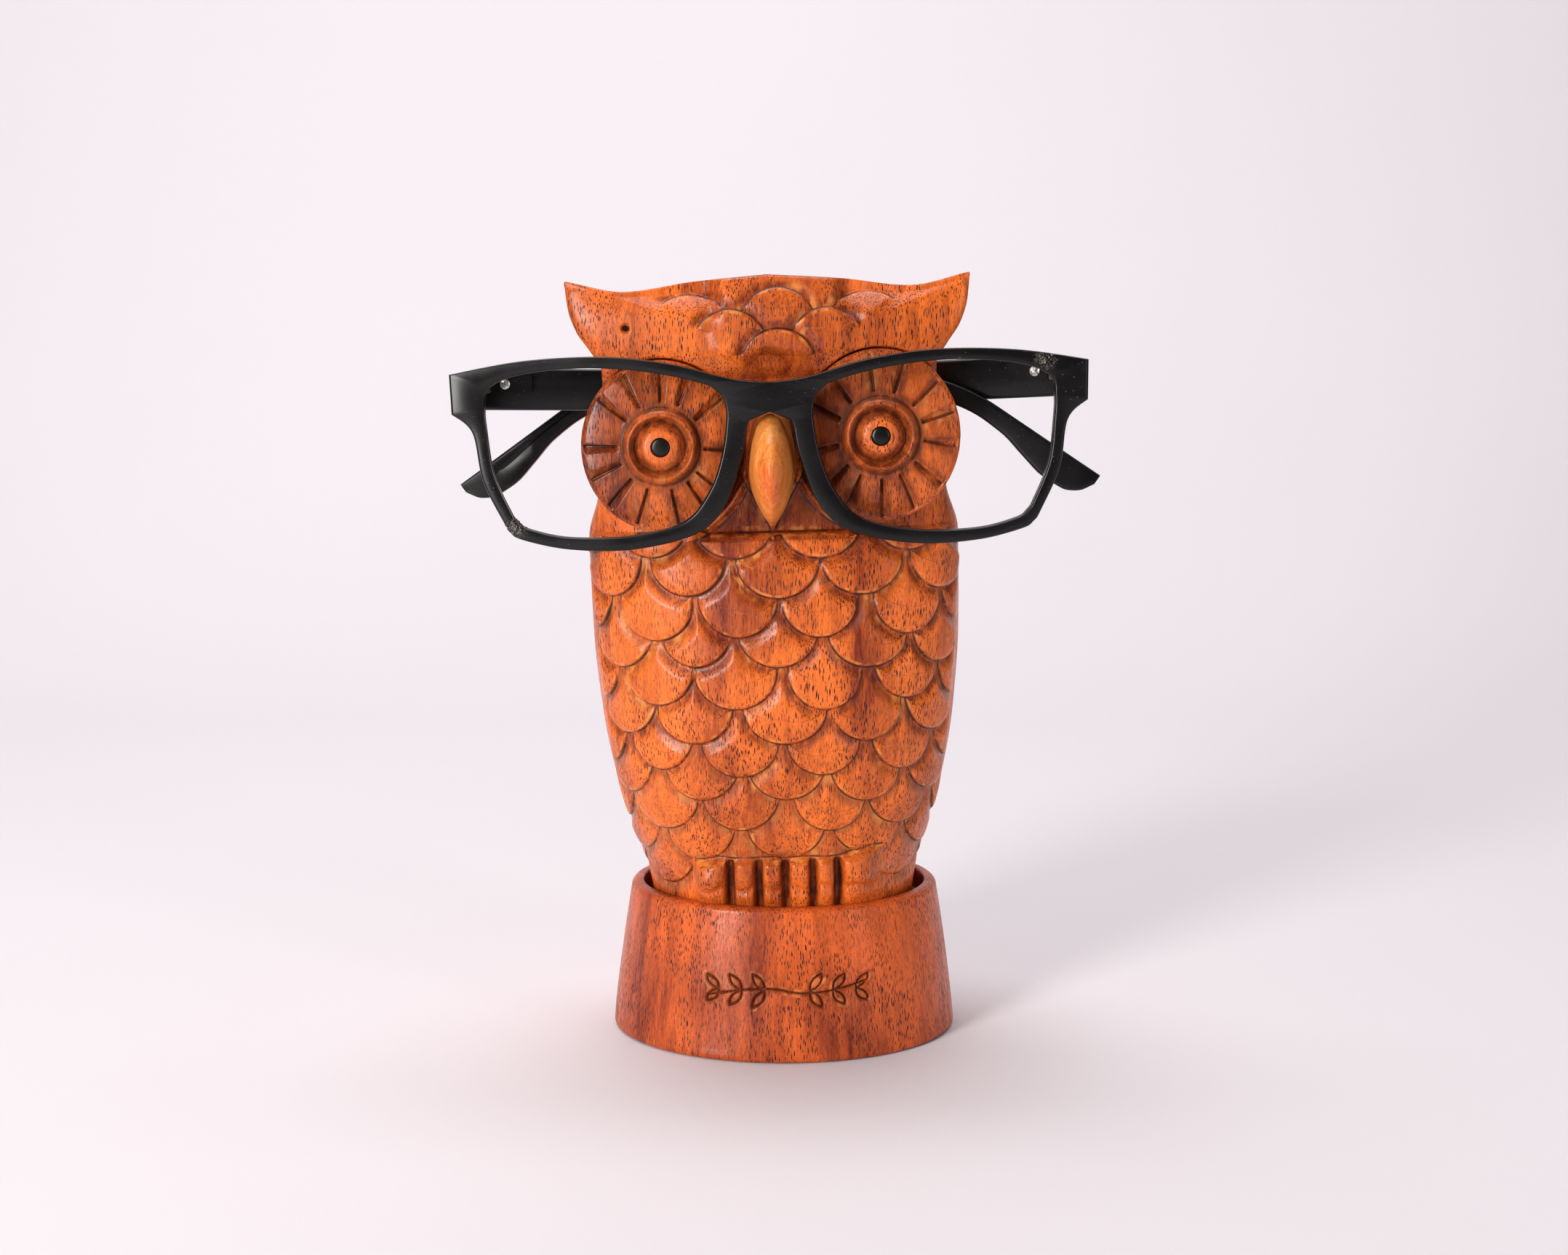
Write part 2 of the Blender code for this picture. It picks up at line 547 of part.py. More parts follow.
def build_temple(side, black, lean):
    """One temple: a straight bar, bent down over the ear to a broad tip."""
    sign = SIDES[side]
    stations = [
        0.0, 0.6, 12, 25, 42, 60, 70, 80, 89, 94, 99, 104, 109, 114, 119, 123, 127, 130, 133, 135.5, 138,
        140.5, TEMPLE_LENGTH,
    ]
    rings = []
    for s in stations:
        back, up, slope = temple_edge(s)
        height = at_height(TEMPLE_HEIGHT, s)
        half_thick = at_height(TEMPLE_HALF_THICK, s)
        top = 0.0
        if s == 0.0:
            half_thick -= 0.4
            top, height = -0.4, height - 0.4
        edge = min(0.7, half_thick * 0.55, height * 0.3)
        ring = []
        for u, v in [  # across the thickness, down from the top edge
            (half_thick, top - edge), (half_thick - edge, top),
            (edge - half_thick, top), (-half_thick, top - edge),
            (-half_thick, edge - height), (edge - half_thick, -height),
            (half_thick - edge, -height), (half_thick, edge - height),
        ]:
            ring.append((
                sign * (TEMPLE_X - temple_inset(s)) + u,
                TEMPLE_START + back + v * math.sin(slope),
                TEMPLE_Z + TEMPLE_TOP + up + v * math.cos(slope),
            ))
        rings.append(ring)
    bm = bmesh.new()
    add_rings(bm, rings)
    hole = bmesh.new()
    outline = cylinder(LEAF_SCREW_RADIUS + 0.2, TEMPLE_INNER - 1.5, TEMPLE_INNER + LEAF_SCREW_DEPTH + GAP)
    add_turned(hole, outline, 12, leaf_screw_axis(side))
    temple = make_object(f"temple_{side}", bm, black, lean, 40.0, pivot_of(side))
    combine(temple, f"temple_screw_hole_{side}", hole, "DIFFERENCE", lean, pivot_of(side))
    fold_with_helpers(temple, side)


def leaf_screw_axis(side):
    screw_y = PIVOT[1] + sum(TEMPLE_LEAF) / 2 - 1.6
    return lambda u, v, h: (SIDES[side] * h, screw_y + u, PIVOT[2] + v)


def fold_with_helpers(obj, side):
    fold(obj, side)
    for modifier in obj.modifiers:
        fold(modifier.object, side)


def add_box(bm, low, high):
    made = bmesh.ops.create_cube(bm, size=1.0)["verts"]
    centre = [(a + b) / 2 for a, b in zip(low, high)]
    size = [b - a for a, b in zip(low, high)]
    bmesh.ops.scale(bm, vec=size, verts=made)
    bmesh.ops.translate(bm, vec=centre, verts=made)


def add_knuckles(bm, side, centres, radius, half_height):
    """Upright cylinders on the hinge's axis, centred at heights from its middle."""
    for centre in centres:
        outline = cylinder(radius, PIVOT[2] + centre - half_height, PIVOT[2] + centre + half_height)
        add_turned(bm, outline, 16, along_z(SIDES[side] * PIVOT[0], PIVOT[1]))


def add_hinge_box(bm, side, across, along, up):
    """Box given by ranges from the hinge's axis: outwards, backwards and upwards."""
    xs = sorted(SIDES[side] * (PIVOT[0] + u) for u in across)
    low = (xs[0], PIVOT[1] + along[0], PIVOT[2] + up[0])
    high = (xs[1], PIVOT[1] + along[1], PIVOT[2] + up[1])
    add_box(bm, low, high)


def build_leaf(name, side, plate, web, centres, material, lean, origin):
    """One half of a hinge: a plate, with webs out to its knuckles."""
    bm = bmesh.new()
    add_hinge_box(bm, side, *plate, (-HINGE_HALF_HEIGHT, HINGE_HALF_HEIGHT))
    leaf = make_object(name, bm, material, lean, 30.0, origin)
    half = KNUCKLE_HEIGHT / 2
    webs, knuckles, bore = bmesh.new(), bmesh.new(), bmesh.new()
    for centre in centres:
        add_hinge_box(webs, side, *web, (centre - half, centre + half))
    add_knuckles(knuckles, side, centres, KNUCKLE_RADIUS, half)
    add_knuckles(bore, side, (0.0,), PIN_RADIUS + PIN_CLEARANCE, 2 * HINGE_HALF_HEIGHT)
    combine(leaf, f"{name}_web", webs, "UNION", lean, origin)
    combine(leaf, f"{name}_knuckles", knuckles, "UNION", lean, origin)
    combine(leaf, f"{name}_bore", bore, "DIFFERENCE", lean, origin)
    return leaf


def build_hinge(side, black, steel, lean):
    """Leaves, pin and leaf screw that join a temple to the front."""
    pivot = pivot_of(side)
    r, t = KNUCKLE_RADIUS, LEAF_THICK
    inside = (-r, t - r)
    plate_end = -r - KNUCKLE_GAP - 0.1
    spacing = KNUCKLE_HEIGHT + KNUCKLE_GAP
    front_plate = (inside, (plate_end - FRONT_LEAF_LENGTH, plate_end))
    front_web = (inside, (plate_end - 0.5, 0.0))
    build_leaf(
        f"front_leaf_{side}", side, front_plate, front_web, (-spacing, spacing), steel, lean, (0.0, 0.0, 0.0),
    )
    outside = (r + 0.2 - t, r + 0.2)
    temple_plate = (outside, TEMPLE_LEAF)
    temple_web = (outside, (0.0, TEMPLE_LEAF[0] + 0.5))
    leaf = build_leaf(f"temple_leaf_{side}", side, temple_plate, temple_web, (0.0,), black, lean, pivot)
    hole = bmesh.new()
    outline = cylinder(LEAF_SCREW_RADIUS + 0.15, PIVOT[0], PIVOT[0] + 3.0)
    add_turned(hole, outline, 12, leaf_screw_axis(side))
    combine(leaf, f"leaf_screw_hole_{side}", hole, "DIFFERENCE", lean, pivot)
    fold_with_helpers(leaf, side)
    head = PIVOT[0] + outside[0] - 0.1
    tip = TEMPLE_INNER + LEAF_SCREW_DEPTH
    screw = [
        (0.0, head - 0.5), (0.75, head - 0.5), (LEAF_SCREW_HEAD, head - 0.15), (LEAF_SCREW_HEAD, head),
        (LEAF_SCREW_RADIUS, head), (LEAF_SCREW_RADIUS, tip - 0.5), (0.0, tip),
    ]
    fold(turned_object(f"leaf_screw_{side}", screw, 12, leaf_screw_axis(side), steel, lean, pivot), side)
    top = PIVOT[2] + HINGE_HALF_HEIGHT + 0.1
    pin = [
        (0.0, PIVOT[2] - HINGE_HALF_HEIGHT - 0.2), (PIN_RADIUS, PIVOT[2] - HINGE_HALF_HEIGHT),
        (PIN_RADIUS, top), (1.1, top), (1.1, top + 0.3), (0.8, top + 0.6), (0.0, top + 0.6),
    ]
    turned_object(f"hinge_pin_{side}", pin, 16, along_z(pivot.x, pivot.y), steel, lean, pivot)


def main():
    clear_scene()
    wood = make_material("carved_wood", (0.47, 0.16, 0.045), 0.42)
    pale_wood = make_material("beak_wood", (0.56, 0.25, 0.09), 0.38)
    black = make_material("black_plastic", (0.012, 0.012, 0.013), 0.38)
    steel = make_material("screw_steel", (0.62, 0.61, 0.59), 0.3, 1.0)
    lean = bpy.data.objects.new("owl_lean", None)
    bpy.context.scene.collection.objects.link(lean)
    lean.matrix_world = (
        Matrix.Translation((OWL_SHIFT * MM, 0.0, PLINTH_HEIGHT * MM))
        @ Matrix.Rotation(math.radians(-LEAN_DEG), 4, "Y")
        @ Matrix.Translation((0.0, 0.0, -PLINTH_HEIGHT * MM))
    )
    build_plinth(wood)
    build_owl(wood, lean)
    for side in SIDES:
        build_eye(side, wood, black, lean)
    build_beak(pale_wood, lean)
    build_joinery(wood, steel, lean)
    build_front(black, lean)
    for side in SIDES:
        build_temple(side, black, lean)
        build_hinge(side, black, steel, lean)


main()
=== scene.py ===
import math
import random

import bmesh
import bpy
import numpy as np
from mathutils import Matrix, Vector


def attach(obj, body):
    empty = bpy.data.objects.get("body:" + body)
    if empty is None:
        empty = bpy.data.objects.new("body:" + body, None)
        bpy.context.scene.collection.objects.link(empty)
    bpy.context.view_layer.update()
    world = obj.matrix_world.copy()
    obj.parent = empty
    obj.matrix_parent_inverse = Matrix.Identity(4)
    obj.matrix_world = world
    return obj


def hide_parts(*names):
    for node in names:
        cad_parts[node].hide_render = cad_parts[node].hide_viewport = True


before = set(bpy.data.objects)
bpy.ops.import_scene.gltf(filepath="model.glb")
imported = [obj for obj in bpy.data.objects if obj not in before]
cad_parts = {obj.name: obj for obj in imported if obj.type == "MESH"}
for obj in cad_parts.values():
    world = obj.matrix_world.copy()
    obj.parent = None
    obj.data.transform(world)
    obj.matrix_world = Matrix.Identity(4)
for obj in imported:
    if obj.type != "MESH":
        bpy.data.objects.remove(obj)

# Lengths are in millimetres, in the owl's own upright frame, as in the part's source. Meshes are in metres.
MM = 0.001
LEAN_DEG = 1.4
OWL_SHIFT = -0.3

PLINTH_HEIGHT = 34.5
PLINTH_FOOT = (40.2, 34.4)
PLINTH_TOP = (35.6, 30.6)
PLINTH_RECESS = (33.0, 28.0)
RECESS_FLOOR = 29.5

OWL_FOOT = 29.8
CHEST_TOP = 118.2
FACE_BOTTOM = 119.7
BROW_BOTTOM = 155.0
EAR_TOP = 174.1
HALF_WIDTH = [
    (OWL_FOOT, 29.6), (38.5, 31.0), (49.0, 34.3), (63.0, 38.3), (77.0, 40.5), (95.0, 41.7),
    (CHEST_TOP, 41.2), (127.0, 38.6), (140.0, 36.6), (BROW_BOTTOM, 36.2), (159.5, 38.6),
    (163.5, 41.3), (168.0, 42.9), (EAR_TOP, 43.7),
]
FRONT = [
    (OWL_FOOT, 24.6), (38.5, 26.0), (49.0, 29.3), (63.0, 33.0), (85.0, 35.8), (105.0, 36.0),
    (CHEST_TOP, 34.8), (FACE_BOTTOM, 32.4), (151.5, 32.4), (BROW_BOTTOM, 34.8), (159.5, 36.4),
    (166.0, 36.2), (EAR_TOP, 33.5),
]
BACK = [
    (OWL_FOOT, 24.8), (46.0, 27.5), (62.0, 29.5), (78.0, 29.2), (93.0, 24.5), (106.0, 14.0),
    (CHEST_TOP, 0.5), (128.0, -12.0), (135.0, -20.5), (140.5, -25.4), (BROW_BOTTOM, -26.0), (EAR_TOP, -26.2),
]
BODY_POWER = 2.35
CROWN_POWER = 1.75
CROWN_TOP = [(0.0, 174.6), (16.0, 173.4), (31.0, 171.6), (43.7, EAR_TOP)]

EYE_X = 23.55
EYE_Z = {"left": 138.5, "right": 139.8}
DISC_HALF = (17.3, 18.5)
DISC_BACK = 31.5
PUPIL_RADIUS = 2.0
PUPIL_DEPTH = 3.6
DISC_FRONT = [
    (2.12, 8.1), (3.4, 7.8), (4.9, 6.5), (5.5, 5.7), (6.0, 6.4), (6.9, 7.5), (7.7, 6.9), (8.4, 5.5),
    (12.0, 5.2), (16.2, 4.4), (17.3, 3.4),
]

BEAK = [
    (149.6, 1.4, 34.2), (147.6, 2.7, 37.2), (145.4, 3.5, 42.1), (142.2, 4.2, 46.8), (138.2, 5.0, 51.0),
    (133.4, 5.3, 52.8), (129.0, 4.5, 51.4), (125.0, 3.0, 47.4), (122.4, 1.6, 41.4), (121.0, 0.6, 37.0),
]
BEAK_BACK = 32.7

BRIDGE_Z = 152.0
GLASSES_FRONT = 45.7
RIM_DEPTH = 3.7
WRAP = 3.5
RIM_PAIRS = [
    ((0.0, 0.0), (-10.9, -1.7)), ((-8.1, 1.0), (-14.1, 0.1)), ((-20.9, 4.4), (-25.5, 2.7)),
    ((-35.2, 6.1), (-39.2, 3.8)), ((-52.1, 5.6), (-52.4, 2.7)), ((-67.6, 3.1), (-59.3, 0.0)),
    ((-67.4, -5.3), (-60.3, -4.3)), ((-63.1, -9.3), (-60.1, -9.1)), ((-61.3, -19.4), (-59.0, -18.0)),
    ((-57.2, -28.3), (-55.8, -25.9)), ((-55.6, -30.7), (-54.3, -28.3)), ((-52.9, -32.3), (-51.8, -30.0)),
    ((-43.2, -34.4), (-43.2, -31.9)), ((-30.0, -34.7), (-30.0, -31.8)), ((-16.4, -31.7), (-18.8, -29.0)),
    ((-9.9, -25.8), (-13.3, -22.8)), ((-5.9, -15.3), (-10.4, -15.2)), ((-4.3, -7.9), (-9.2, -7.5)),
    ((0.0, -6.2), (-9.5, -3.9)), ((0.0, -3.1), (-10.0, -2.7)),
]
RIM_CORNERS = {0, 5, 6, 18, 19}
RIM_STEPS = 10
PAD_DEPTH = 3.2
PAD_CENTRE = (-8.5, -19.5)
PAD_REACH = 8.0
LUG_DEPTH = 11.0
LUG_INNER = -62.2
LUG_BOTTOM = -7.0
LUG_STEP = 0.4

TEMPLE_LENGTH = 141.8
TEMPLE_BEND = (89.0, 115.0)
TEMPLE_DROP_DEG = 33.5
TEMPLE_PITCH_DEG = 1.8
TEMPLE_TOP = 4.9
TEMPLE_HEIGHT = [
    (0.0, 9.1), (25.0, 9.0), (60.0, 7.2), (90.0, 5.2), (112.0, 4.1), (119.0, 4.4), (126.0, 6.0), (132.0, 7.2),
    (136.5, 7.0), (140.0, 5.2), (TEMPLE_LENGTH, 2.4),
]
TEMPLE_HALF_THICK = [(0.0, 1.7), (60.0, 1.5), (95.0, 1.3), (133.5, 1.3), (TEMPLE_LENGTH, 0.8)]
TEMPLE_CURVE = (70.0, 8.0)
TEMPLE_ANGLE_DEG = {"left": 89.3, "right": 81.0}
TEMPLE_X = 65.9
TEMPLE_Z = BRIDGE_Z - 1.1
LUG_BACK = GLASSES_FRONT - WRAP - RIM_DEPTH - LUG_DEPTH
TEMPLE_START = 0.5 - LUG_BACK
TEMPLE_INNER = TEMPLE_X - TEMPLE_HALF_THICK[0][1]
KNUCKLE_RADIUS = 1.35
PIVOT = (TEMPLE_INNER - 1.9, TEMPLE_START + KNUCKLE_RADIUS, TEMPLE_Z + 1.4)
TEMPLE_LEAF = (1.75, 10.4)
LEAF_SCREW_HEAD = 1.1
LEAF_THICK = 0.75

SIDES = {"left": -1, "right": 1}
LEAN = (
    Matrix.Translation((OWL_SHIFT, 0.0, PLINTH_HEIGHT))
    @ Matrix.Rotation(math.radians(-LEAN_DEG), 4, "Y")
    @ Matrix.Translation((0.0, 0.0, -PLINTH_HEIGHT))
)


# ---- Shared helpers ----

def smooth(t):
    """0 below 0, 1 above 1 and an eased slope between."""
    t = np.clip(t, 0.0, 1.0)
    return t * t * (3.0 - 2.0 * t)


def bump_at(value, centre, width):
    return np.exp(-(((value - centre) / width) ** 2))


def along(table, x):
    """Smooth value of a (position, value) table at x, without overshoot."""
    places, values = np.array(table, float).T
    between = np.diff(values) / np.diff(places)
    slopes = np.zeros(len(places))
    slopes[0], slopes[-1] = between[0], between[-1]
    product = between[:-1] * between[1:]
    same = product > 0
    slopes[1:-1][same] = 2.0 * product[same] / (between[:-1] + between[1:])[same]
    x = np.clip(x, places[0], places[-1])
    i = np.clip(np.searchsorted(places, x, side="right") - 1, 0, len(places) - 2)
    span = places[i + 1] - places[i]
    t = (x - places[i]) / span
    return (
        values[i] * (2 * t**3 - 3 * t**2 + 1) + slopes[i] * span * (t**3 - 2 * t**2 + t)
        + values[i + 1] * (3 * t**2 - 2 * t**3) + slopes[i + 1] * span * (t**3 - t**2)
    )


def leaned(points):
    """Points of the upright owl, moved to where the leaning owl stands."""
    lean = np.array(LEAN)
    return np.asarray(points, float) @ lean[:3, :3].T + lean[:3, 3]


def full_turn(columns):
    """Even steps round a full turn, in radians."""
    return 2 * math.pi * np.arange(columns) / columns


def oval_ring(half, turn, z):
    """A level ring of points at height z."""
    return np.stack([half[0] * np.cos(turn), half[1] * np.sin(turn), np.full(len(turn), z)], -1)


def grid_faces(rows, columns):
    """Quads of a grid of closed rings."""
    low = np.arange(rows - 1)[:, None] * columns
    here = np.arange(columns)[None, :]
    following = (here + 1) % columns
    high = low + columns
    return np.stack([low + here, low + following, high + following, high + here], -1).reshape(-1, 4).tolist()


def capped_faces(rows, columns):
    """The same quads, with a face across the first ring and across the last."""
    last = (rows - 1) * columns
    return grid_faces(rows, columns) + [list(range(columns)), list(range(last, last + columns))]


def normals_of(points):
    """Outward unit normals of a closed grid of rings, rows rising and columns running from +X over +Y."""
    across = np.roll(points, -1, 1) - np.roll(points, 1, 1)
    up = np.gradient(points, axis=0)
    normal = np.cross(across, up)
    return normal / np.maximum(np.linalg.norm(normal, axis=-1, keepdims=True), 1e-9)


def add_piece(name, points, faces, material, body, nodes, values=None, sharp_deg=40.0):
    """A finished mesh piece from points in millimetres, riding on a body and standing for CAD nodes."""
    mesh = bpy.data.meshes.new(name)
    mesh.from_pydata((np.asarray(points).reshape(-1, 3) * MM).tolist(), [], faces)
    for key, array in (values or {}).items():
        attribute = mesh.attributes.new(key, "FLOAT", "POINT")
        attribute.data.foreach_set("value", np.asarray(array, np.float32).ravel())
    finish_piece(name, mesh, material, body, nodes, sharp_deg)


def link_object(name, data):
    obj = bpy.data.objects.new(name, data)
    bpy.context.scene.collection.objects.link(obj)
    return obj


def finish_piece(name, mesh, material, body, nodes, sharp_deg):
    bm = bmesh.new()
    bm.from_mesh(mesh)
    bmesh.ops.recalc_face_normals(bm, faces=bm.faces)
    bm.to_mesh(mesh)
    bm.free()
    mesh.shade_smooth()
    mesh.set_sharp_from_angle(angle=math.radians(sharp_deg))
    obj = link_object(name, mesh)
    mesh.materials.append(material)
    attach(obj, body)
    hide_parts(*nodes)


# ---- Materials ----

WOODS = {  # dark and light tones, the tone that the palest streaks fall back to, and how many pores
    "owl_wood": ((0.19, 0.017, 0.003), (0.98, 0.2, 0.026), (0.6, 0.072, 0.008), 1.0),
    "plinth_wood": ((0.17, 0.015, 0.003), (0.86, 0.15, 0.024), (0.5, 0.055, 0.008), 1.0),
    "disc_wood": ((0.11, 0.01, 0.002), (0.84, 0.17, 0.028), (0.4, 0.045, 0.006), 1.0),
    "beak_wood_grain": ((0.66, 0.11, 0.013), (1.0, 0.5, 0.12), (1.0, 0.26, 0.038), 0.35),
    "joinery_wood": ((0.4, 0.22, 0.1), (0.7, 0.48, 0.27), (0.55, 0.34, 0.17), 0.5),
}
TONES = (0.38, 0.645, 0.646)  # where on the tone scale those three colours lie
PALE_HEAD = (150.0, 160.0, 0.0, 0.035)  # heights between which the wood turns paler, and by how much
FRESH_AND_HIGHLIGHT_FOOT = (75.0, 48.0, 0.0, 0.6)  # heights between which the cuts turn paler (painted highlight and fresher cut wood), and by how much
# Wood texture, in repeats per millimetre: the last one is along the grain.
CLOUDS = (0.05, 0.05, 0.018)
STREAKS = (0.3, 0.3, 0.03)
FIBRE = (2.6, 2.6, 0.16)
PORES = (2.7, 2.7, 0.42)
SPECKS = (5.0, 5.0, 1.2)
ACETATE_BLACK = (0.0035, 0.003, 0.003)
PUPIL_BLACK = (0.0025, 0.0022, 0.002)
DUST = (0.28, 0.26, 0.24)
GLUE = (0.34, 0.31, 0.26)
GLUE_REACH = (3.2, 0.8)
# Colour of the dark crease lines: painted shade in the cuts, with some dark dirt.
CREASE_BLACK = (0.022, 0.007, 0.004)


def even(scale):
    return (scale, scale, scale)


class Nodes:
    """Short calls for building a material's node tree."""

    def __init__(self, name):
        self.material = bpy.data.materials.new(name)
        self.material.use_nodes = True
        self.tree = self.material.node_tree
        self.shader = self.tree.nodes["Principled BSDF"]

    def add(self, kind, inputs=None, **settings):
        node = self.tree.nodes.new(kind)
        for key, value in settings.items():
            setattr(node, key, value)
        for key, value in (inputs or {}).items():
            self.set(node.inputs[key], value)
        return node

    def set(self, socket, value):
        if isinstance(value, bpy.types.NodeSocket):
            self.tree.links.new(value, socket)
        else:
            socket.default_value = value

    def place(self, scale, turn=(0.0, 0.0, 0.0)):
        """Object coordinates, in millimetres times scale."""
        coordinates = self.add("ShaderNodeTexCoord").outputs["Object"]
        inputs = {"Vector": coordinates, "Scale": tuple(s / MM for s in scale), "Rotation": turn}
        return self.add("ShaderNodeMapping", inputs).outputs[0]

    def rise(self):
        """Height in millimetres."""
        return self.add("ShaderNodeSeparateXYZ", {"Vector": self.place(even(1.0))}).outputs["Z"]

    def noise(self, scale, detail=4.0, roughness=0.55, distortion=0.0, turn=(0.0, 0.0, 0.0)):
        inputs = {
            "Vector": self.place(scale, turn), "Scale": 1.0, "Detail": detail, "Roughness": roughness,
            "Distortion": distortion,
        }
        return self.add("ShaderNodeTexNoise", inputs).outputs["Fac"]

    def cells(self, scale):
        inputs = {"Vector": self.place(scale), "Scale": 1.0}
        return self.add("ShaderNodeTexVoronoi", inputs).outputs["Distance"]

    def math(self, operation, *values):
        return self.add("ShaderNodeMath", dict(enumerate(values)), operation=operation).outputs[0]

    def times(self, a, b):
        return self.math("MULTIPLY", a, b)

    def plus(self, a, b):
        return self.math("ADD", a, b)

    def near(self, value, place, far, close):
        """0 where value is further than far from a place, and 1 where it is closer than close."""
        return self.range(self.math("ABSOLUTE", self.math("SUBTRACT", value, place)), far, close)

    def range(self, value, low, high, to_low=0.0, to_high=1.0):
        inputs = {"Value": value, "From Min": low, "From Max": high, "To Min": to_low, "To Max": to_high}
        return self.add("ShaderNodeMapRange", inputs, interpolation_type="SMOOTHSTEP").outputs[0]

    def mix(self, share, a, b):
        a, b = (c if isinstance(c, bpy.types.NodeSocket) else (*c, 1.0) for c in (a, b))
        return self.add("ShaderNodeMix", {0: share, 6: a, 7: b}, data_type="RGBA").outputs[2]

    def ramp(self, value, stops):
        node = self.add("ShaderNodeValToRGB", {"Fac": value})
        elements = node.color_ramp.elements
        for position, _ in stops[1:-1]:
            elements.new(position)
        for element, (position, colour) in zip(elements, stops):
            element.position = position
            element.color = (*colour, 1.0)
        return node.outputs["Color"]

    def attribute(self, name):
        return self.add("ShaderNodeAttribute", attribute_name=name).outputs["Fac"]

    def bump(self, height, strength, distance, before=None):
        inputs = {"Height": height, "Strength": strength, "Distance": distance * MM}
        if before is not None:
            inputs["Normal"] = before
        return self.add("ShaderNodeBump", inputs).outputs["Normal"]

    def finish(self, colour, roughness, normal, **constants):
        self.set(self.shader.inputs["Base Color"], colour)
        self.set(self.shader.inputs["Roughness"], roughness)
        self.set(self.shader.inputs["Normal"], normal)
        for key, value in constants.items():
            self.shader.inputs[key.replace("_", " ")].default_value = value
        return self.material


def make_wood(name, carved=True):
    """Oiled open-pored wood with its grain along Z, with painted shade in carved creases and painted
    highlight on raised edges.
    """
    dark, light, streak, pore_amount = WOODS[name]
    n = Nodes(name)
    clouds = n.noise(CLOUDS, 3.0, 0.5, 0.6)
    streaks = n.noise(STREAKS, 5.0, 0.62, 1.0)
    fibre = n.noise(FIBRE, 3.0, 0.6)
    tone = n.plus(n.times(clouds, 0.5), n.times(streaks, 0.36))
    tone = n.plus(tone, n.times(fibre, 0.18))
    tone = n.plus(tone, n.range(n.rise(), *PALE_HEAD))
    colour = n.ramp(tone, list(zip(TONES, (dark, light, streak))))
    pores = n.range(n.cells(PORES), 0.4, 0.24)
    crowd = n.range(n.noise((0.12, 0.12, 0.05), 2.0), 0.35, 0.6, 0.35, 1.0)
    pores = n.times(pores, n.times(crowd, pore_amount))
    specks = n.times(n.range(n.cells(SPECKS), 0.32, 0.14), 0.6 * pore_amount)
    holes = n.math("MAXIMUM", pores, specks)
    colour = n.mix(holes, colour, tuple(c * 0.1 for c in dark))
    relief = n.math("SUBTRACT", n.times(fibre, 0.35), holes)
    if carved:
        colour = add_carving_marks(n, colour, dark, light)
    roughness = n.range(n.noise((0.25, 0.25, 0.12), 4.0), 0.3, 0.7, 0.28, 0.42)
    roughness = n.plus(roughness, n.times(holes, 0.2))
    wave = n.bump(n.noise((0.35, 0.35, 0.1), 2.0), 0.35, 0.25)
    normal = n.bump(relief, 0.35, 0.08, wave)
    return n.finish(colour, roughness, normal, Specular_IOR_Level=0.27, Coat_Weight=0.12, Coat_Roughness=0.15)


def add_carving_marks(n, colour, dark, light):
    """Dark lines in the creases (painted shade, with some dirt), painted shade in the ditches beside them,
    paler ditches (painted highlight and fresher cut wood), pale lips (painted highlight), and painted shade
    in grooves and hollows.
    """
    crease = n.attribute("crease")
    painted_shade = n.attribute("painted_shade")
    depth = n.attribute("depth")
    # Large noise that varies the strength of the painted shade and highlight marks.
    unevenness = n.noise((0.5, 0.5, 0.3), 3.0)
    fresh_and_highlight = n.noise((0.09, 0.09, 0.06), 2.0)
    fresh_and_highlight = n.plus(n.range(fresh_and_highlight, 0.5, 0.62), n.range(n.rise(), *FRESH_AND_HIGHLIGHT_FOOT))
    fresh_and_highlight = n.math("MINIMUM", fresh_and_highlight, 1.0)
    # Dark line along each crease: painted shade at the bottom of the cut, with some dark dirt.
    line = n.near(crease, 0.1, 0.34, 0.05)
    line = n.times(line, n.times(depth, n.range(unevenness, 0.3, 0.56, 0.3, 0.92)))
    # Darker ditch beside each crease: painted shade just below the feather edge above it.
    ditch = n.times(n.near(crease, 0.7, 1.9, 0.2), depth)
    ditch_shade = n.times(ditch, n.range(unevenness, 0.3, 0.62, 0.2, 0.78))
    # Paler ditches here and there, more towards the foot: painted highlight and fresher cut wood.
    ditch_fresh_and_highlight = n.times(n.times(ditch, fresh_and_highlight), n.range(unevenness, 0.42, 0.62, 0.0, 0.6))
    # Pale lip on the raised side of each crease: painted highlight.
    lip = n.times(n.near(crease, -0.5, 0.45, 0.1), depth)
    lip = n.times(lip, n.range(unevenness, 0.45, 0.65, 0.0, 0.5))
    pale = (min(light[0] * 1.1, 1.0), light[1] * 1.65, light[2] * 2.6)
    # Painted shade carried by a vertex attribute: in grooves, hollows, the plinth's recess and at the beak's
    # tips.
    shade_share = n.times(painted_shade, n.range(unevenness, 0.2, 0.7, 0.6, 1.0))
    colour = n.mix(ditch_shade, colour, tuple(c * 0.6 for c in dark))
    colour = n.mix(ditch_fresh_and_highlight, colour, pale)
    colour = n.mix(lip, colour, pale)
    colour = n.mix(shade_share, colour, tuple(c * 0.35 for c in dark))
    return n.mix(line, colour, CREASE_BLACK)


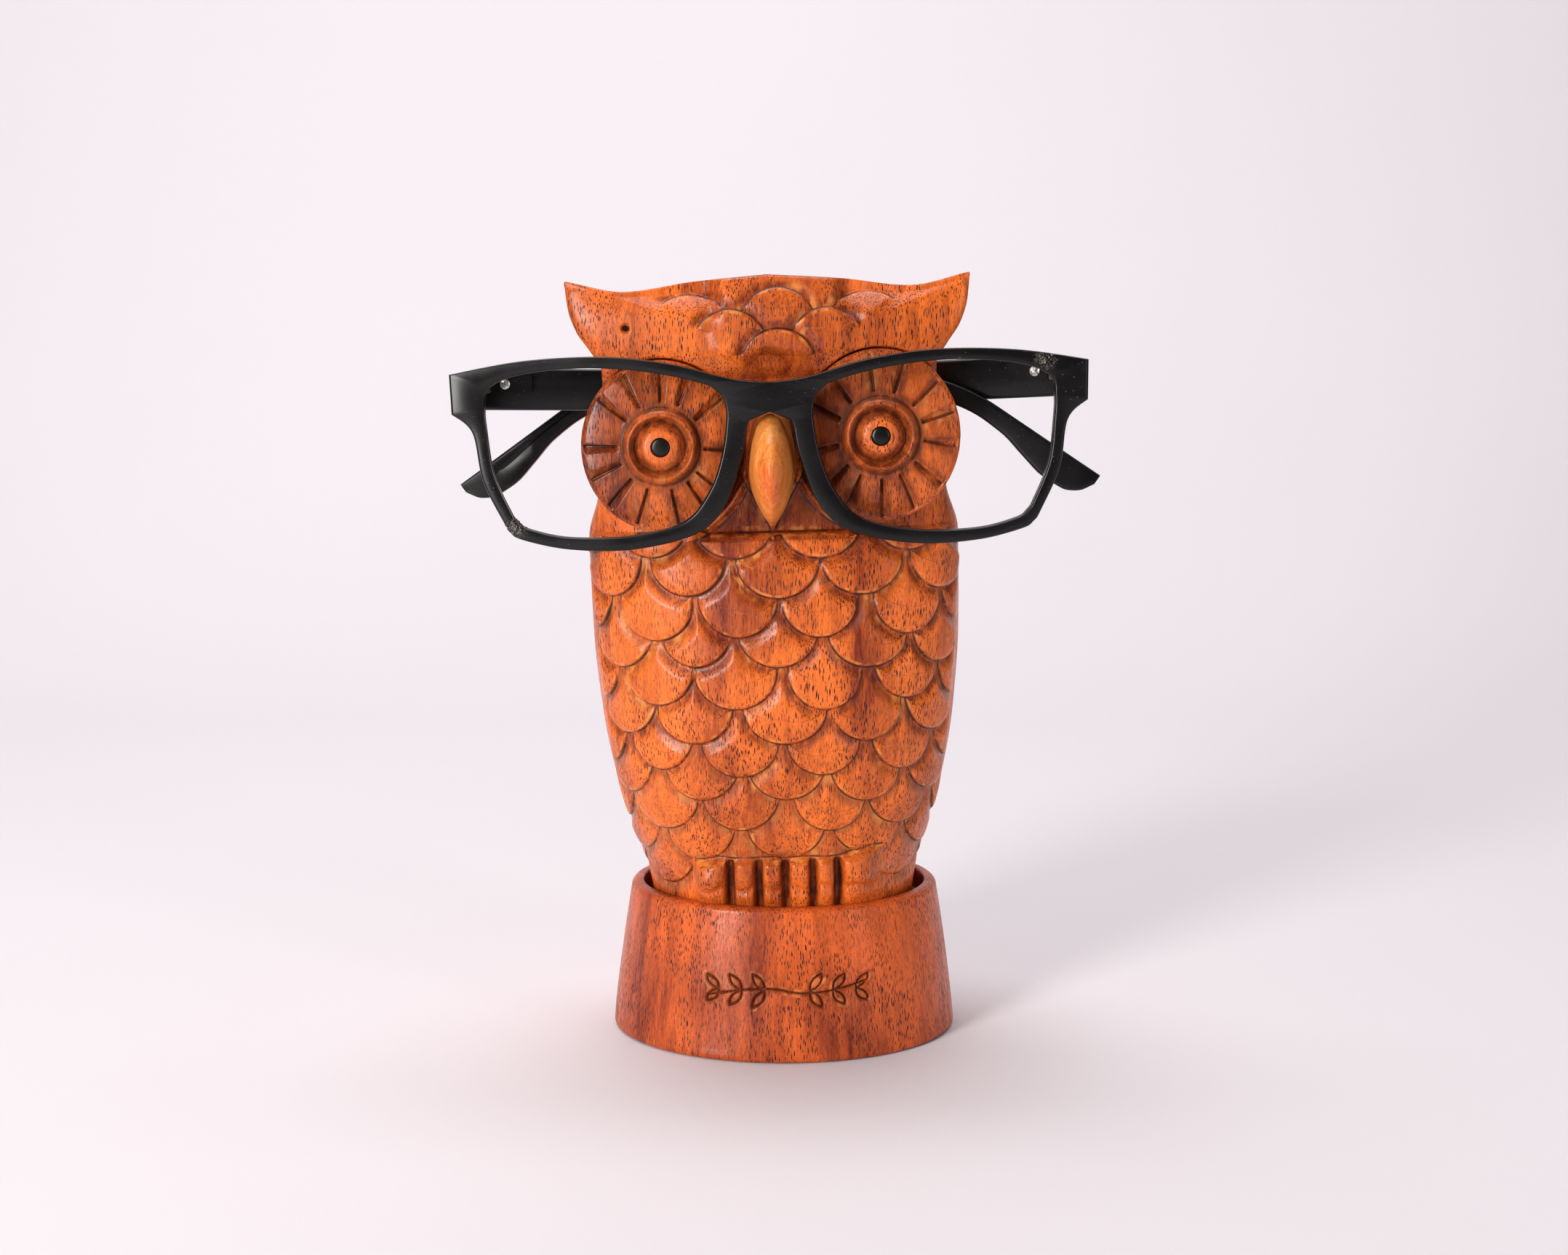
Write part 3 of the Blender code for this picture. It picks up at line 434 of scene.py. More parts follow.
def make_plastic(name, colour, crack_points=()):
    """Satin black acetate, a little worn: uneven gloss, fine scratches, dust and whitish glue at cracks."""
    n = Nodes(name)
    haze = n.noise(even(0.06), 3.0)
    base = n.mix(n.range(haze, 0.35, 0.7), colour, tuple(c * 1.6 + 0.001 for c in colour))
    dust = n.range(n.cells(even(0.9)), 0.13, 0.06)
    dust = n.times(dust, n.range(n.noise(even(0.09), 2.0), 0.52, 0.66, 0.0, 0.5))
    scratch = n.range(n.noise((0.5, 0.5, 5.0), 2.0, turn=(0.5, 0.7, 0.3)), 0.69, 0.76, 0.0, 0.14)
    marks = n.math("MAXIMUM", dust, scratch)
    base = n.mix(marks, base, DUST)
    for point in crack_points:
        reach = n.add("ShaderNodeVectorMath", {0: n.place(even(1.0)), 1: tuple(point)}, operation="DISTANCE")
        near = n.range(reach.outputs["Value"], *GLUE_REACH)
        thread = n.range(n.noise(even(1.6), 4.0, 0.7, 2.5), 0.53, 0.62)
        base = n.mix(n.times(near, thread), base, GLUE)
    roughness = n.plus(n.range(haze, 0.3, 0.7, 0.2, 0.33), n.times(marks, 0.3))
    grain = n.noise(even(5.0), 2.0)
    normal = n.bump(n.plus(n.times(grain, 0.3), marks), 0.2, 0.03)
    return n.finish(base, roughness, normal, Specular_IOR_Level=0.3)


def make_steel(name):
    """Plated steel: fine marks, with dull spots and dark dirt."""
    n = Nodes(name)
    marks = n.noise(even(7.0), 3.0)
    dirt = n.range(n.noise(even(1.1), 4.0), 0.5, 0.68)
    base = n.mix(marks, (0.5, 0.49, 0.47), (0.78, 0.77, 0.75))
    base = n.mix(n.times(dirt, 0.7), base, (0.1, 0.085, 0.07))
    roughness = n.plus(n.range(marks, 0.3, 0.7, 0.2, 0.34), n.times(dirt, 0.3))
    normal = n.bump(marks, 0.15, 0.03)
    return n.finish(base, roughness, normal, Metallic=1.0)


def make_stage_material():
    """Pale, faintly mottled paper for the floor and backdrop."""
    n = Nodes("pale_stage")
    colour = n.mix(n.noise(even(0.004), 2.0), (0.80, 0.76, 0.79), (0.83, 0.79, 0.815))
    normal = n.bump(n.noise(even(0.8), 2.0), 0.05, 0.05)
    return n.finish(colour, 0.7, normal, Specular_IOR_Level=0.2)


# ---- Owl body ----

FRONT_COLUMNS = 340  # half the columns: the front and the back have as many
ROW_STEP = 0.34
CROWN_ROWS = 56
CROWN_ROUND = 1.0
BRAD_AT = (-30.5, 163.8)
BRAD_DENT = (1.2, 1.1, 0.4)  # depth, radius, width of its slope
FEATHER_PITCH = 19.0
FEATHER_RADIUS = (8.6, 8.4)
FEATHER_ROWS = [  # lowest point, whether a feather is on the middle line, height of its edge
    (38.2, False, 0.6), (45.3, True, 0.7), (51.9, False, 0.75), (59.3, True, 0.85), (66.1, False, 0.95),
    (73.7, True, 1.05), (80.8, False, 1.1), (89.5, True, 1.2), (96.8, False, 1.25), (105.4, True, 1.25),
    (114.3, False, 1.2),
]
FEATHER_RAMP = 3.4
FEATHER_MIDDLE = 0.8
BELLY_LIFT = 0.55
FEATHER_FADE = (43.0, 50.0)
CROWN_MIDDLE = 2.1
CROWN_FEATHERS = [  # rows from the top: apex height, places beside the middle
    (171.6, (-18.9, 0.0, 19.2)), (167.2, (-10.4, 10.6)), (163.0, (0.0,)),
]
SEAT_MARGIN = 0.3
TOE_GROOVES = (-11.3, -5.1, 0.8, 6.9, 12.3)
TOE_ENDS = (-20.2, 26.0)
TOE_TOP = 45.4
TOE_LUMPS = [(1.7, -15.4, 3.0, 40.8, 3.6), (1.3, 16.8, 4.0, 42.2, 3.8)]  # height, then x and z with widths
HOLLOW_LINE = [(12.0, 162.5), (20.0, 165.0), (30.0, 168.6), (40.0, 172.0)]  # foot of the crown's hollows


def owl_rows():
    """Heights of the rings below the brow, then the shares of the way from brow to crown."""
    foot = list(np.linspace(OWL_FOOT, 33.8, 5))
    heights = foot + list(np.arange(34.2, BROW_BOTTOM, ROW_STEP)) + [BROW_BOTTOM]
    shares = list(np.linspace(0.0, 1.0 - CROWN_ROUND / (EAR_TOP - BROW_BOTTOM), CROWN_ROWS))[1:]
    return [(z, None) for z in heights] + [(BROW_BOTTOM + (EAR_TOP - BROW_BOTTOM) * s, s) for s in shares]


def owl_ring(z, share, angles):
    half_width, front, back = (float(along(table, z)) for table in (HALF_WIDTH, FRONT, BACK))
    middle, half_depth = (back - front) / 2, (back + front) / 2
    blend = min(max((z - CHEST_TOP) / (BROW_BOTTOM - CHEST_TOP), 0.0), 1.0)
    power = 2.0 / (BODY_POWER + (CROWN_POWER - BODY_POWER) * blend)
    c, s = np.cos(angles), np.sin(angles)
    x = half_width * np.sign(c) * np.abs(c) ** power
    y = middle + half_depth * np.sign(s) * np.abs(s) ** power
    level = max(1.0 - (z - OWL_FOOT) / 20.0, 0.0)
    height = z - x * math.tan(math.radians(LEAN_DEG)) * level
    if share is not None:
        height = BROW_BOTTOM + (along(CROWN_TOP, np.abs(x)) - BROW_BOTTOM) * share
    return np.stack([x, y, height], -1)


class Carving:
    """Relief over the owl's smooth surface, with crease marks and painted shade for the wood shader."""

    def __init__(self, across, z):
        self.across = across
        self.z = z
        self.height = np.zeros(z.shape)
        self.crease = np.full(z.shape, 9.0)
        self.painted_shade = np.zeros(z.shape)

    def shingle(self, feathers, up, edge_height, ramp, where):
        """Lays a row of rounded feathers over what is there. Their roots lie towards up, 1 or -1."""
        edge = np.full(self.z.shape, 9.0)
        tilt = np.zeros(self.z.shape)
        for centre, centre_z, (half_across, half_up), lean in feathers:
            u = (self.across - centre) / half_across
            v = np.minimum((self.z - centre_z) * up, 0.0) / half_up
            own = (np.hypot(u, v) - 1.0) * half_up
            tilt = np.where(own < edge, lean * np.clip(u, -1.0, 1.0), tilt)
            edge = np.minimum(edge, own)
        outside = smooth((edge + 0.22) / 0.44)
        lip = (edge_height + tilt) * (1.0 - 0.25 * np.exp(-((np.minimum(edge, 0.0) / 0.9) ** 2)))
        cut = self.height * smooth(np.maximum(edge, 0.0) / ramp)
        self.height = np.where(where, lip * (1.0 - outside) + cut * outside, self.height)
        nearest = np.where(np.abs(self.crease) < edge, self.crease, edge)
        self.crease = np.where(where, np.where(edge > 0.0, nearest, edge), self.crease)

    def lower(self, amount, where):
        self.height -= np.where(where, amount, 0.0)

    # Painted shade: a darker colour where shade falls.
    def darken(self, amount, where):
        self.painted_shade = np.maximum(self.painted_shade, np.where(where, amount, 0.0))

    def mark(self, distance, where=True):
        """A dark line along distance 0: painted shade along a cut or a seam."""
        nearer = where & (np.abs(distance) < np.abs(self.crease))
        self.crease = np.where(nearer, distance, self.crease)


def carve_belly(carving, front):
    rng = random.Random(7)
    s, z = carving.across, carving.z
    carving.height = np.full(z.shape, BELLY_LIFT)
    on_belly = front & (z < CHEST_TOP + 0.6)
    for low, centred, edge_height in FEATHER_ROWS:
        first = -2 if centred else -3
        feathers = []
        for k in range(first, 3):
            place = FEATHER_MIDDLE + (k if centred else k + 0.5) * FEATHER_PITCH
            radius = [r * rng.uniform(0.93, 1.08) for r in FEATHER_RADIUS]
            centre_z = low + radius[1] + rng.uniform(-0.9, 0.9)
            feathers.append((place + rng.uniform(-1.0, 1.0), centre_z, radius, rng.uniform(-0.28, 0.28)))
        carving.shingle(feathers, 1, edge_height, FEATHER_RAMP, on_belly)
    fade = 1.0 - smooth((np.abs(s) - FEATHER_FADE[0]) / (FEATHER_FADE[1] - FEATHER_FADE[0]))
    return np.where(on_belly, fade, 0.0)


def carve_toes(carving, x, front):
    """Toes gripping the plinth: a raised band with upright grooves and a lump at each end."""
    z = carving.z
    low, high = TOE_ENDS
    inside = smooth((x - low) / 3.5) * smooth((high - x) / 10.0)
    top = TOE_TOP + 0.5 - 0.9 * bump_at(x, low, 4.0) + 1.8 * smooth((x - 12.0) / 9.0)
    band = smooth((top - z) / 0.8) * (0.72 + 0.28 * smooth((z - 34.5) / 3.0))
    joint = 39.0 + 0.7 * np.sin(x * 0.9)
    knuckle = 1.0 + 0.2 * bump_at(z, 42.5, 2.2) - 0.2 * bump_at(z, joint, 0.9)
    gaps = np.min([np.abs(x - g) for g in TOE_GROOVES], axis=0)
    toe = smooth((gaps - 0.35) / 1.1) * (0.7 + 0.3 * smooth(gaps / 2.6))
    lumps = sum(h * bump_at(x, cx, wide) * bump_at(z, cz, tall) for h, cx, wide, cz, tall in TOE_LUMPS)
    raised = (2.7 * knuckle + lumps) * inside * band
    on_toes = front & (z < TOE_TOP + 3.0) & (inside > 0.02)
    carving.height = np.where(on_toes, carving.height * (1 - band * inside) + raised * toe, carving.height)
    # Painted shade in the grooves between the toes.
    groove_shade = smooth((1.25 - gaps) / 0.55) * band * smooth(inside * 3.0)
    carving.darken(groove_shade, on_toes)
    # A painted shadow line along the top of the toe band, where the belly overhangs.
    along_top = on_toes & (inside > 0.25) & (np.abs(z - top) < 2.0)
    carving.crease = np.where(on_toes & (z < top + 1.0), 9.0, carving.crease)
    carving.mark(z - top - 0.1, along_top)
    return np.where(on_toes, smooth(inside * 2.0), 0.0)


def disc_edge(x, z, side):
    """Distance outside the eye disc's seat, negative within it."""
    half_x, half_z = (h + SEAT_MARGIN for h in DISC_HALF)
    u = (x - SIDES[side] * EYE_X) / half_x
    v = (z - EYE_Z[side]) / half_z
    return (np.hypot(u, v) - 1.0) * (half_x + half_z) / 2


def carve_face(carving, x, front):
    """The ledge over the chest, the V behind the beak, and ridges under the eye discs."""
    z = carving.z
    on_face = front & (z > CHEST_TOP - 0.5) & (z < BROW_BOTTOM + 3.0)
    half = 8.0 * smooth((z - 118.5) / 20.0) ** 0.8 + 0.3
    vee = half - np.abs(x)
    raised = 1.2 * smooth((vee + 0.25) / 0.6) * smooth((z - FACE_BOTTOM) / 0.8)
    low_ridge = np.zeros(z.shape)
    for side in SIDES:
        edge = disc_edge(x, z, side)
        inner_low = smooth((EYE_Z[side] - 4.0 - z) / 6.0) * smooth((22.0 - np.abs(x)) / 9.0)
        low_ridge += 1.3 * bump_at(edge, 1.6, 0.85) * inner_low
        carving.mark(edge - 3.0, on_face & (inner_low > 0.3) & (edge > 0.5))
    carving.height = np.where(on_face, raised + low_ridge, carving.height)
    # A dark line along the V's edges: painted shade.
    carving.mark(-vee, on_face & (z < 146.0))
    # Painted shade in the V hollow behind the beak.
    shade = smooth((z - FACE_BOTTOM) / 1.5) * smooth((150.0 - z) / 6.0) * smooth((15.0 - np.abs(x)) / 6.0)
    carving.darken(0.4 * shade * (1.0 - 0.5 * raised / 1.2), on_face)
    # A dark line under the chest ledge: painted shadow.
    carving.mark(z - FACE_BOTTOM + 0.5, front & (np.abs(z - FACE_BOTTOM + 0.5) < 1.5) & (np.abs(x) < 30.0))
    return np.where(on_face, 1.0, 0.0)


def carve_crown(carving, x, front):
    """Forehead feathers, the hollows beside them that rise to the ear tufts, and the frown over the beak."""
    z = carving.z
    beside = np.abs(x - CROWN_MIDDLE)
    on_crown = front & (z > BROW_BOTTOM - 2.5)
    triangle = np.where(z < 163.0, 11.0 + (z - 155.5) * 0.3, 12.0 + (z - 160.0) * 1.25)
    inside = on_crown & (beside < triangle + 3.0) & (z > 157.5)
    carving.height = np.where(on_crown, 0.5, carving.height)
    for apex, places in CROWN_FEATHERS:
        feathers = [(CROWN_MIDDLE + p, apex - 8.0, (8.1, 8.0), 0.1) for p in places]
        carving.shingle(feathers, -1, 0.72, 3.0, inside)
    fade = 1.0 - smooth((beside - triangle) / 3.0)
    carving.height = np.where(on_crown, carving.height * fade + 0.25 * (1.0 - fade), carving.height)
    over = smooth((beside - 11.0) / 5.0) * np.maximum(z - along(HOLLOW_LINE, beside), 0.0)
    carving.lower(0.42 * over, on_crown)
    carving.lower(0.15 * bump_at(beside, 16.0, 5.0) * bump_at(z, 163.5, 6.0), on_crown)
    frown = np.hypot(x / 5.0, (z - 157.0) / 2.4)
    carving.lower(0.9 * np.exp(-frown**2), on_crown)
    # Painted shade in the frown over the beak and in the hollows beside the crown feathers.
    frown_shade = 0.6 * np.exp(-np.hypot(x / 4.2, (z - 158.4 + 0.12 * x**2) / 1.3) ** 2)
    hollow_shade = 0.4 * bump_at(beside, 15.5, 2.2) * bump_at(z, 163.5, 4.5)
    carving.darken(np.maximum(frown_shade, hollow_shade), on_crown)
    brad = np.hypot(x - BRAD_AT[0], z - BRAD_AT[1])
    deep, radius, slope = BRAD_DENT
    carving.lower(deep * smooth((radius - brad) / slope), on_crown)
    below_top = smooth((along(CROWN_TOP, np.abs(x)) - CROWN_ROUND - z) / 0.9)
    return np.where(on_crown, np.where(z > 157.5, fade * below_top, 1.0), 0.0)


def seat_discs(points, carving, x, front):
    """Lets the eye discs' flat seats into the finished surface, under arched brows."""
    z = carving.z
    for side in SIDES:
        edge = disc_edge(x, z, side)
        share = 1.0 - smooth((edge + 0.25) / 0.5)
        seat = np.maximum(points[..., 1], -(DISC_BACK - 0.35))
        points[..., 1] = np.where(front, points[..., 1] * (1.0 - share) + seat * share, points[..., 1])
        # A dark line round the top of each seat: painted shade between disc and body.
        near = front & (z > 140.0) & (z < 151.0) & (edge > -1.0) & (edge < 2.0)
        carving.mark(edge - 0.15, near)
    return points


def build_owl(wood):
    count = 2 * FRONT_COLUMNS
    angles = full_turn(count)
    base = np.array([owl_ring(z, share, angles) for z, share in owl_rows()])
    step = np.linalg.norm(np.diff(base, axis=1), axis=-1)
    walked = np.concatenate([np.zeros((len(base), 1)), np.cumsum(step, axis=1)], axis=1)
    middle = FRONT_COLUMNS + FRONT_COLUMNS // 2
    across = walked - walked[:, middle : middle + 1]
    front = np.zeros(base.shape[:2], bool)
    front[:, FRONT_COLUMNS + 1 :] = True
    x, z = base[..., 0], base[..., 2]
    carving = Carving(across, z)
    depth = carve_belly(carving, front)
    carving.height *= depth
    for carve in (carve_toes, carve_face, carve_crown):
        depth = np.maximum(depth * (depth <= 1.0), carve(carving, x, front))
    toward_front = smooth((angles - math.pi) / 0.25) * smooth((2 * math.pi - angles) / 0.25)
    points = base + normals_of(base) * (carving.height * toward_front)[..., None]
    points = seat_discs(points, carving, x, front)
    points, values = round_crown(points, angles, carving, depth)
    faces = grid_faces(len(points), count)
    top = (len(points) - 1) * count
    for j in range(FRONT_COLUMNS):
        corners = [top + j, top + j + 1, top + (count - j - 1), top + (count - j) % count]
        faces.append(list(dict.fromkeys(corners)))
    faces.append(list(range(count)))
    add_piece("owl_body_carved", leaned(points), faces, wood, "stand",
              ["owl_body"], values, 180.0)


def round_crown(points, angles, carving, depth):
    """Adds the rings that round the crown's edge, and spreads the marks over them."""
    rim = owl_ring(EAR_TOP, 1.0, angles)
    middle = (along(BACK, EAR_TOP) - along(FRONT, EAR_TOP)) / 2
    last = points[-1]
    extra = []
    for turn in np.radians([22.5, 45.0, 67.5, 90.0]):
        ring = rim.copy()
        ring[:, 0] *= 1.0 - 0.006 * (1.0 - math.cos(turn))
        inset = 1.0 - 0.3 * (1.0 - math.cos(turn))
        ring[:, 1] = middle + (last[:, 1] - middle) * inset
        ring[:, 2] -= CROWN_ROUND * (1.0 - math.sin(turn))
        extra.append(ring)
    values = {"crease": carving.crease, "painted_shade": carving.painted_shade, "depth": depth}
    rings = len(extra)
    values = {key: np.concatenate([v, np.repeat(v[-1:], rings, 0)]) for key, v in values.items()}
    return np.concatenate([points, np.array(extra)]), values


# ---- Plinth ----

PLINTH_RIM = 1.3
DENSE_ARC = (-0.62, 0.66)  # turns from the front between which the columns are dense
RECESS_STEPS = [  # inset and drop from the recess's mouth
    (0.0, 0.0), (0.25, -0.12), (0.45, -0.45), (0.62, -2.0), (0.9, RECESS_FLOOR + 0.5 - PLINTH_HEIGHT),
    (1.5, RECESS_FLOOR + 0.1 - PLINTH_HEIGHT), (2.6, RECESS_FLOOR - PLINTH_HEIGHT),
]
ORNAMENT_MIDDLE = (0.8, 16.2)
ORNAMENT_DEPTH = 0.75
ORNAMENT_WIDTH = 0.42


def bezier(a, b, c, count=24):
    t = np.linspace(0.0, 1.0, count)[:, None]
    return (1 - t) ** 2 * np.array(a) + 2 * t * (1 - t) * np.array(b) + t**2 * np.array(c)


def ornament_strokes():
    """A leafy sprig, as strokes across and up from its middle."""
    strokes = [bezier((-18.0, -1.6), (-6.0, 1.6), (0.0, 0.0)), bezier((0.0, 0.0), (6.0, -1.6), (18.0, 1.6))]
    for k in (-3, -2, -1, 1, 2, 3):
        root = 5.2 * k
        outward = 1 if k > 0 else -1
        for rise in (1, -1):
            reach = rise * (4.1 - 0.35 * abs(k))
            tip = (root + 2.6 * outward, reach)
            for across, share in ((-0.4, 0.75), (2.9, 0.3)):
                strokes.append(bezier((root, 0.0), (root + across * outward, reach * share), tip))
    return strokes


def distance_to(strokes, u, v):
    """Distance from each (u, v) to the nearest stroke."""
    best = np.full(u.shape, 9.0)
    for stroke in strokes:
        for (x0, z0), (x1, z1) in zip(stroke, stroke[1:]):
            dx, dz = x1 - x0, z1 - z0
            t = np.clip(((u - x0) * dx + (v - z0) * dz) / (dx * dx + dz * dz), 0.0, 1.0)
            best = np.minimum(best, np.hypot(u - x0 - t * dx, v - z0 - t * dz))
    return best


def plinth_half(z):
    """Half width and half depth of the flank at height z, with the foot and rim rounded."""
    share = (z / PLINTH_HEIGHT) ** 1.25
    half = np.array([foot + (top - foot) * share for foot, top in zip(PLINTH_FOOT, PLINTH_TOP)])
    if z < 1.0:
        half -= 0.8 * (1.0 - math.sqrt(max(1.0 - (1.0 - z) ** 2, 0.0)))
    over = z - (PLINTH_HEIGHT - PLINTH_RIM)
    if over > 0.0:
        half -= PLINTH_RIM * (1.0 - math.sqrt(max(1.0 - (over / PLINTH_RIM) ** 2, 0.0)))
    return half


def build_plinth(wood):
    start, end = DENSE_ARC
    rest = np.linspace(end, 2 * math.pi + start, 260)[1:-1]
    turn = np.concatenate([np.linspace(start, end, 300), rest]) - math.pi / 2
    rim_turns = np.radians(np.arange(0.0, 91.0, 11.25))
    heights = np.concatenate([
        [0.0, 0.06, 0.2, 0.4, 0.7, 1.0], np.arange(1.5, 11.0, 0.7), np.arange(11.0, 21.6, 0.16),
        np.arange(22.0, 33.2, 0.7), PLINTH_HEIGHT - PLINTH_RIM * (1.0 - np.sin(rim_turns)),
    ])
    rows = [oval_ring(plinth_half(float(z)), turn, z) for z in heights]
    flank_rows = len(rows)
    mouth = np.array(PLINTH_RECESS) + 0.35
    rows += [oval_ring(mouth - inset, turn, PLINTH_HEIGHT + drop) for inset, drop in RECESS_STEPS]
    points = np.array(rows)
    x, z = points[..., 0], points[..., 2]
    flank = (np.arange(len(rows)) < flank_rows)[:, None] & (points[..., 1] < 0.0)
    u, v = x - ORNAMENT_MIDDLE[0], (z - ORNAMENT_MIDDLE[1]) * 1.02
    near = flank & (np.abs(u) < 20.0) & (np.abs(v) < 6.0)
    distance = np.full(x.shape, 9.0)
    distance[near] = distance_to(ornament_strokes(), u[near], v[near])
    wobble = 0.35 * np.sin(x * 0.13 + 1.0) * np.sin(z * 0.2) * (z > 2.0) * (z < 32.0)
    cut = ORNAMENT_DEPTH * np.clip(1.0 - distance / ORNAMENT_WIDTH, 0.0, 1.0)
    points = points + normals_of(points) * np.where(flank, np.minimum(wobble, 0.0) - cut, 0.0)[..., None]
    # Painted shade over the recess that the owl stands in.
    in_recess = (np.arange(len(rows)) >= flank_rows + 2)[:, None] * np.ones(x.shape)
    values = {
        "crease": np.where(distance < 1.0, distance + 0.12, 9.0),
        "painted_shade": 0.8 * in_recess,
        "depth": np.ones(x.shape),
    }
    faces = capped_faces(len(rows), len(turn))
    add_piece("plinth_turned", points, faces, wood, "stand", ["plinth"], values, 50.0)


# ---- Eyes and beak ----

DISC_GROOVES = {
    "left": (143, 117, 90, 65, 35, -5, -37, -55, -78, -110, -135, -157, 178),
    "right": (130, 97, 70, 40, 15, -9, -38, -65, -90, -118, -140, -170, 155),
}
GROOVE_SPAN = (9.0, 17.0)
STEEP_SIDE = 0.35
HUB_RADIUS = 8.4
TURNED_RINGS = (5.5, 8.45)
PUPIL_GAP = 0.12


def disc_relief(radius, turn, side):
    """Height of the carved rays over the turned disc, and the distance to their cut."""
    angles = np.radians(sorted(DISC_GROOVES[side]))
    rng = random.Random(11 if side == "left" else 12)
    start, end = GROOVE_SPAN
    ray = smooth((radius - start) / 0.7) * smooth((end - radius) / 0.8)
    flare = 0.7 + 0.6 * np.clip((radius - start) / (end - start), 0.0, 1.0)
    height = np.zeros(radius.shape)
    crease = np.full(radius.shape, 9.0)
    for k, angle in enumerate(angles):
        following = angles[(k + 1) % len(angles)] + (2 * math.pi if k == len(angles) - 1 else 0.0)
        wide = following - angle
        offset = (turn - angle) % (2 * math.pi)
        in_petal = offset < wide
        tilt = rng.uniform(-0.3, 0.45)
        height += np.where(in_petal, tilt * (offset / wide - 0.5), 0.0)
        across = np.where(np.cos(turn - angle) > 0, radius * np.sin(turn - angle), 9.0)
        gentle = rng.uniform(1.0, 1.7)
        lean_side = 1 if rng.random() < 0.75 else -1
        profile = np.abs(across) / (flare * np.where(across * lean_side > 0, gentle, STEEP_SIDE))
        height -= rng.uniform(0.95, 1.25) * np.clip(1.0 - profile, 0.0, 1.0)
        marked = np.where(ray > 0.3, np.abs(across - 0.05 * lean_side), 9.0)
        crease = np.minimum(crease, marked)
    return height * ray, crease


def build_eye(side, wood, black):
    x, z = SIDES[side] * EYE_X, EYE_Z[side]
    rim_x, rim_z = DISC_HALF
    columns = 420
    turn = full_turn(columns)
    inner = PUPIL_RADIUS + PUPIL_GAP
    radii = np.concatenate([
        np.arange(inner, HUB_RADIUS, 0.13), np.arange(HUB_RADIUS, 16.9, 0.17), [16.95, 17.1, 17.22],
    ])
    grid_r = np.repeat(radii[:, None], columns, 1)
    grid_t = np.repeat(turn[None, :], len(radii), 0)
    relief, crease = disc_relief(grid_r, grid_t, side)
    height = along(DISC_FRONT[:-1] + [(rim_x, 3.6)], grid_r) + relief
    floor = DISC_FRONT[0][1] - PUPIL_DEPTH
    rings_r = np.concatenate([[inner], radii, [rim_x, rim_x, rim_x - 0.3]])
    pad = np.ones((1, columns))
    heights = np.concatenate([floor * pad, height, 3.2 * pad, 0.35 * pad, 0.0 * pad])
    grid_r = np.repeat(rings_r[:, None], columns, 1)
    stretch = 1.0 + (rim_z / rim_x - 1.0) * np.clip((grid_r - HUB_RADIUS) / (rim_x - HUB_RADIUS), 0.0, 1.0)
    points = np.stack([
        x + grid_r * np.cos(turn), -(DISC_BACK + heights), z + grid_r * np.sin(turn) * stretch,
    ], -1)
    creases = np.concatenate([9.0 * pad, crease, 9.0 * pad, 9.0 * pad, 9.0 * pad])
    for ring in TURNED_RINGS:
        creases = np.minimum(creases, np.abs(grid_r - ring) + 0.1)
    # Painted shade in the grooves of the turned rings.
    ring_shade = 0.35 * bump_at(grid_r, 5.4, 0.9) + 0.3 * bump_at(grid_r, 8.8, 0.8)
    values = {"crease": creases, "painted_shade": ring_shade, "depth": np.full(grid_r.shape, 0.9)}
    faces = capped_faces(len(rings_r), columns)
    add_piece(f"eye_disc_{side}_carved", leaned(points), faces, wood, "stand",
              [f"eye_disc_{side}"], values, 180.0)
    build_pupil(side, black, floor)


def build_pupil(side, black, floor):
    """Inlaid pupil with a slightly domed, softly rounded face."""
    x, z = SIDES[side] * EYE_X, EYE_Z[side]
    columns = 48
    dome = 0.35
    shoulder = DISC_FRONT[0][1] - 0.1 - dome
    profile = [(1.6, floor + 0.15), (PUPIL_RADIUS, floor + 0.4), (PUPIL_RADIUS, shoulder)]
    for a in np.radians([25, 50, 75, 88]):
        profile.append((PUPIL_RADIUS * math.cos(a), shoulder + dome * math.sin(a)))
    points = [
        [(x + r * math.cos(t), -(DISC_BACK + h), z + r * math.sin(t)) for t in full_turn(columns)]
        for r, h in profile
    ]
    faces = capped_faces(len(profile), columns)
    add_piece(f"pupil_{side}_domed", leaned(points), faces, black, "stand",
              [f"pupil_{side}"])


def build_beak(wood):
    """Smooth almond with a soft ridge down its front."""
    heights = np.linspace(BEAK[-1][0], BEAK[0][0], 150)
    widths = [(z, w) for z, w, _ in reversed(BEAK)]
    fronts = [(z, f) for z, _, f in reversed(BEAK)]
    arc = np.linspace(0.0, math.pi, 96)
    rows = []
    for z in heights:
        half_width, front = float(along(widths, z)), float(along(fronts, z)) - 0.15
        sine = np.sin(arc) ** 0.85
        ridge = 0.25 * bump_at(np.cos(arc), 0.0, 0.22) * min((front - BEAK_BACK) / 10.0, 1.0)
        y = -BEAK_BACK - (front - BEAK_BACK - 0.2) * sine - ridge
        rows.append(np.stack([half_width * np.cos(arc), y, np.full(len(arc), z)], -1))
    points = np.array(rows)
    z = points[..., 2]
    # Painted shade at the beak's lower tip, and lighter painted shadow at its top under the glasses' bridge.
    tips = smooth((heights[0] + 2.2 - z) / 2.0) + 0.5 * smooth((z - heights[-1] + 1.5) / 1.5)
    painted_shade = 0.45 * np.clip(tips, 0.0, 1.0)
    values = {"crease": np.full(z.shape, 9.0), "painted_shade": painted_shade, "depth": np.zeros(z.shape)}
    faces = capped_faces(*z.shape)
    add_piece("beak_carved", leaned(points), faces, wood, "stand", ["beak"], values, 60.0)


# ---- Glasses ----

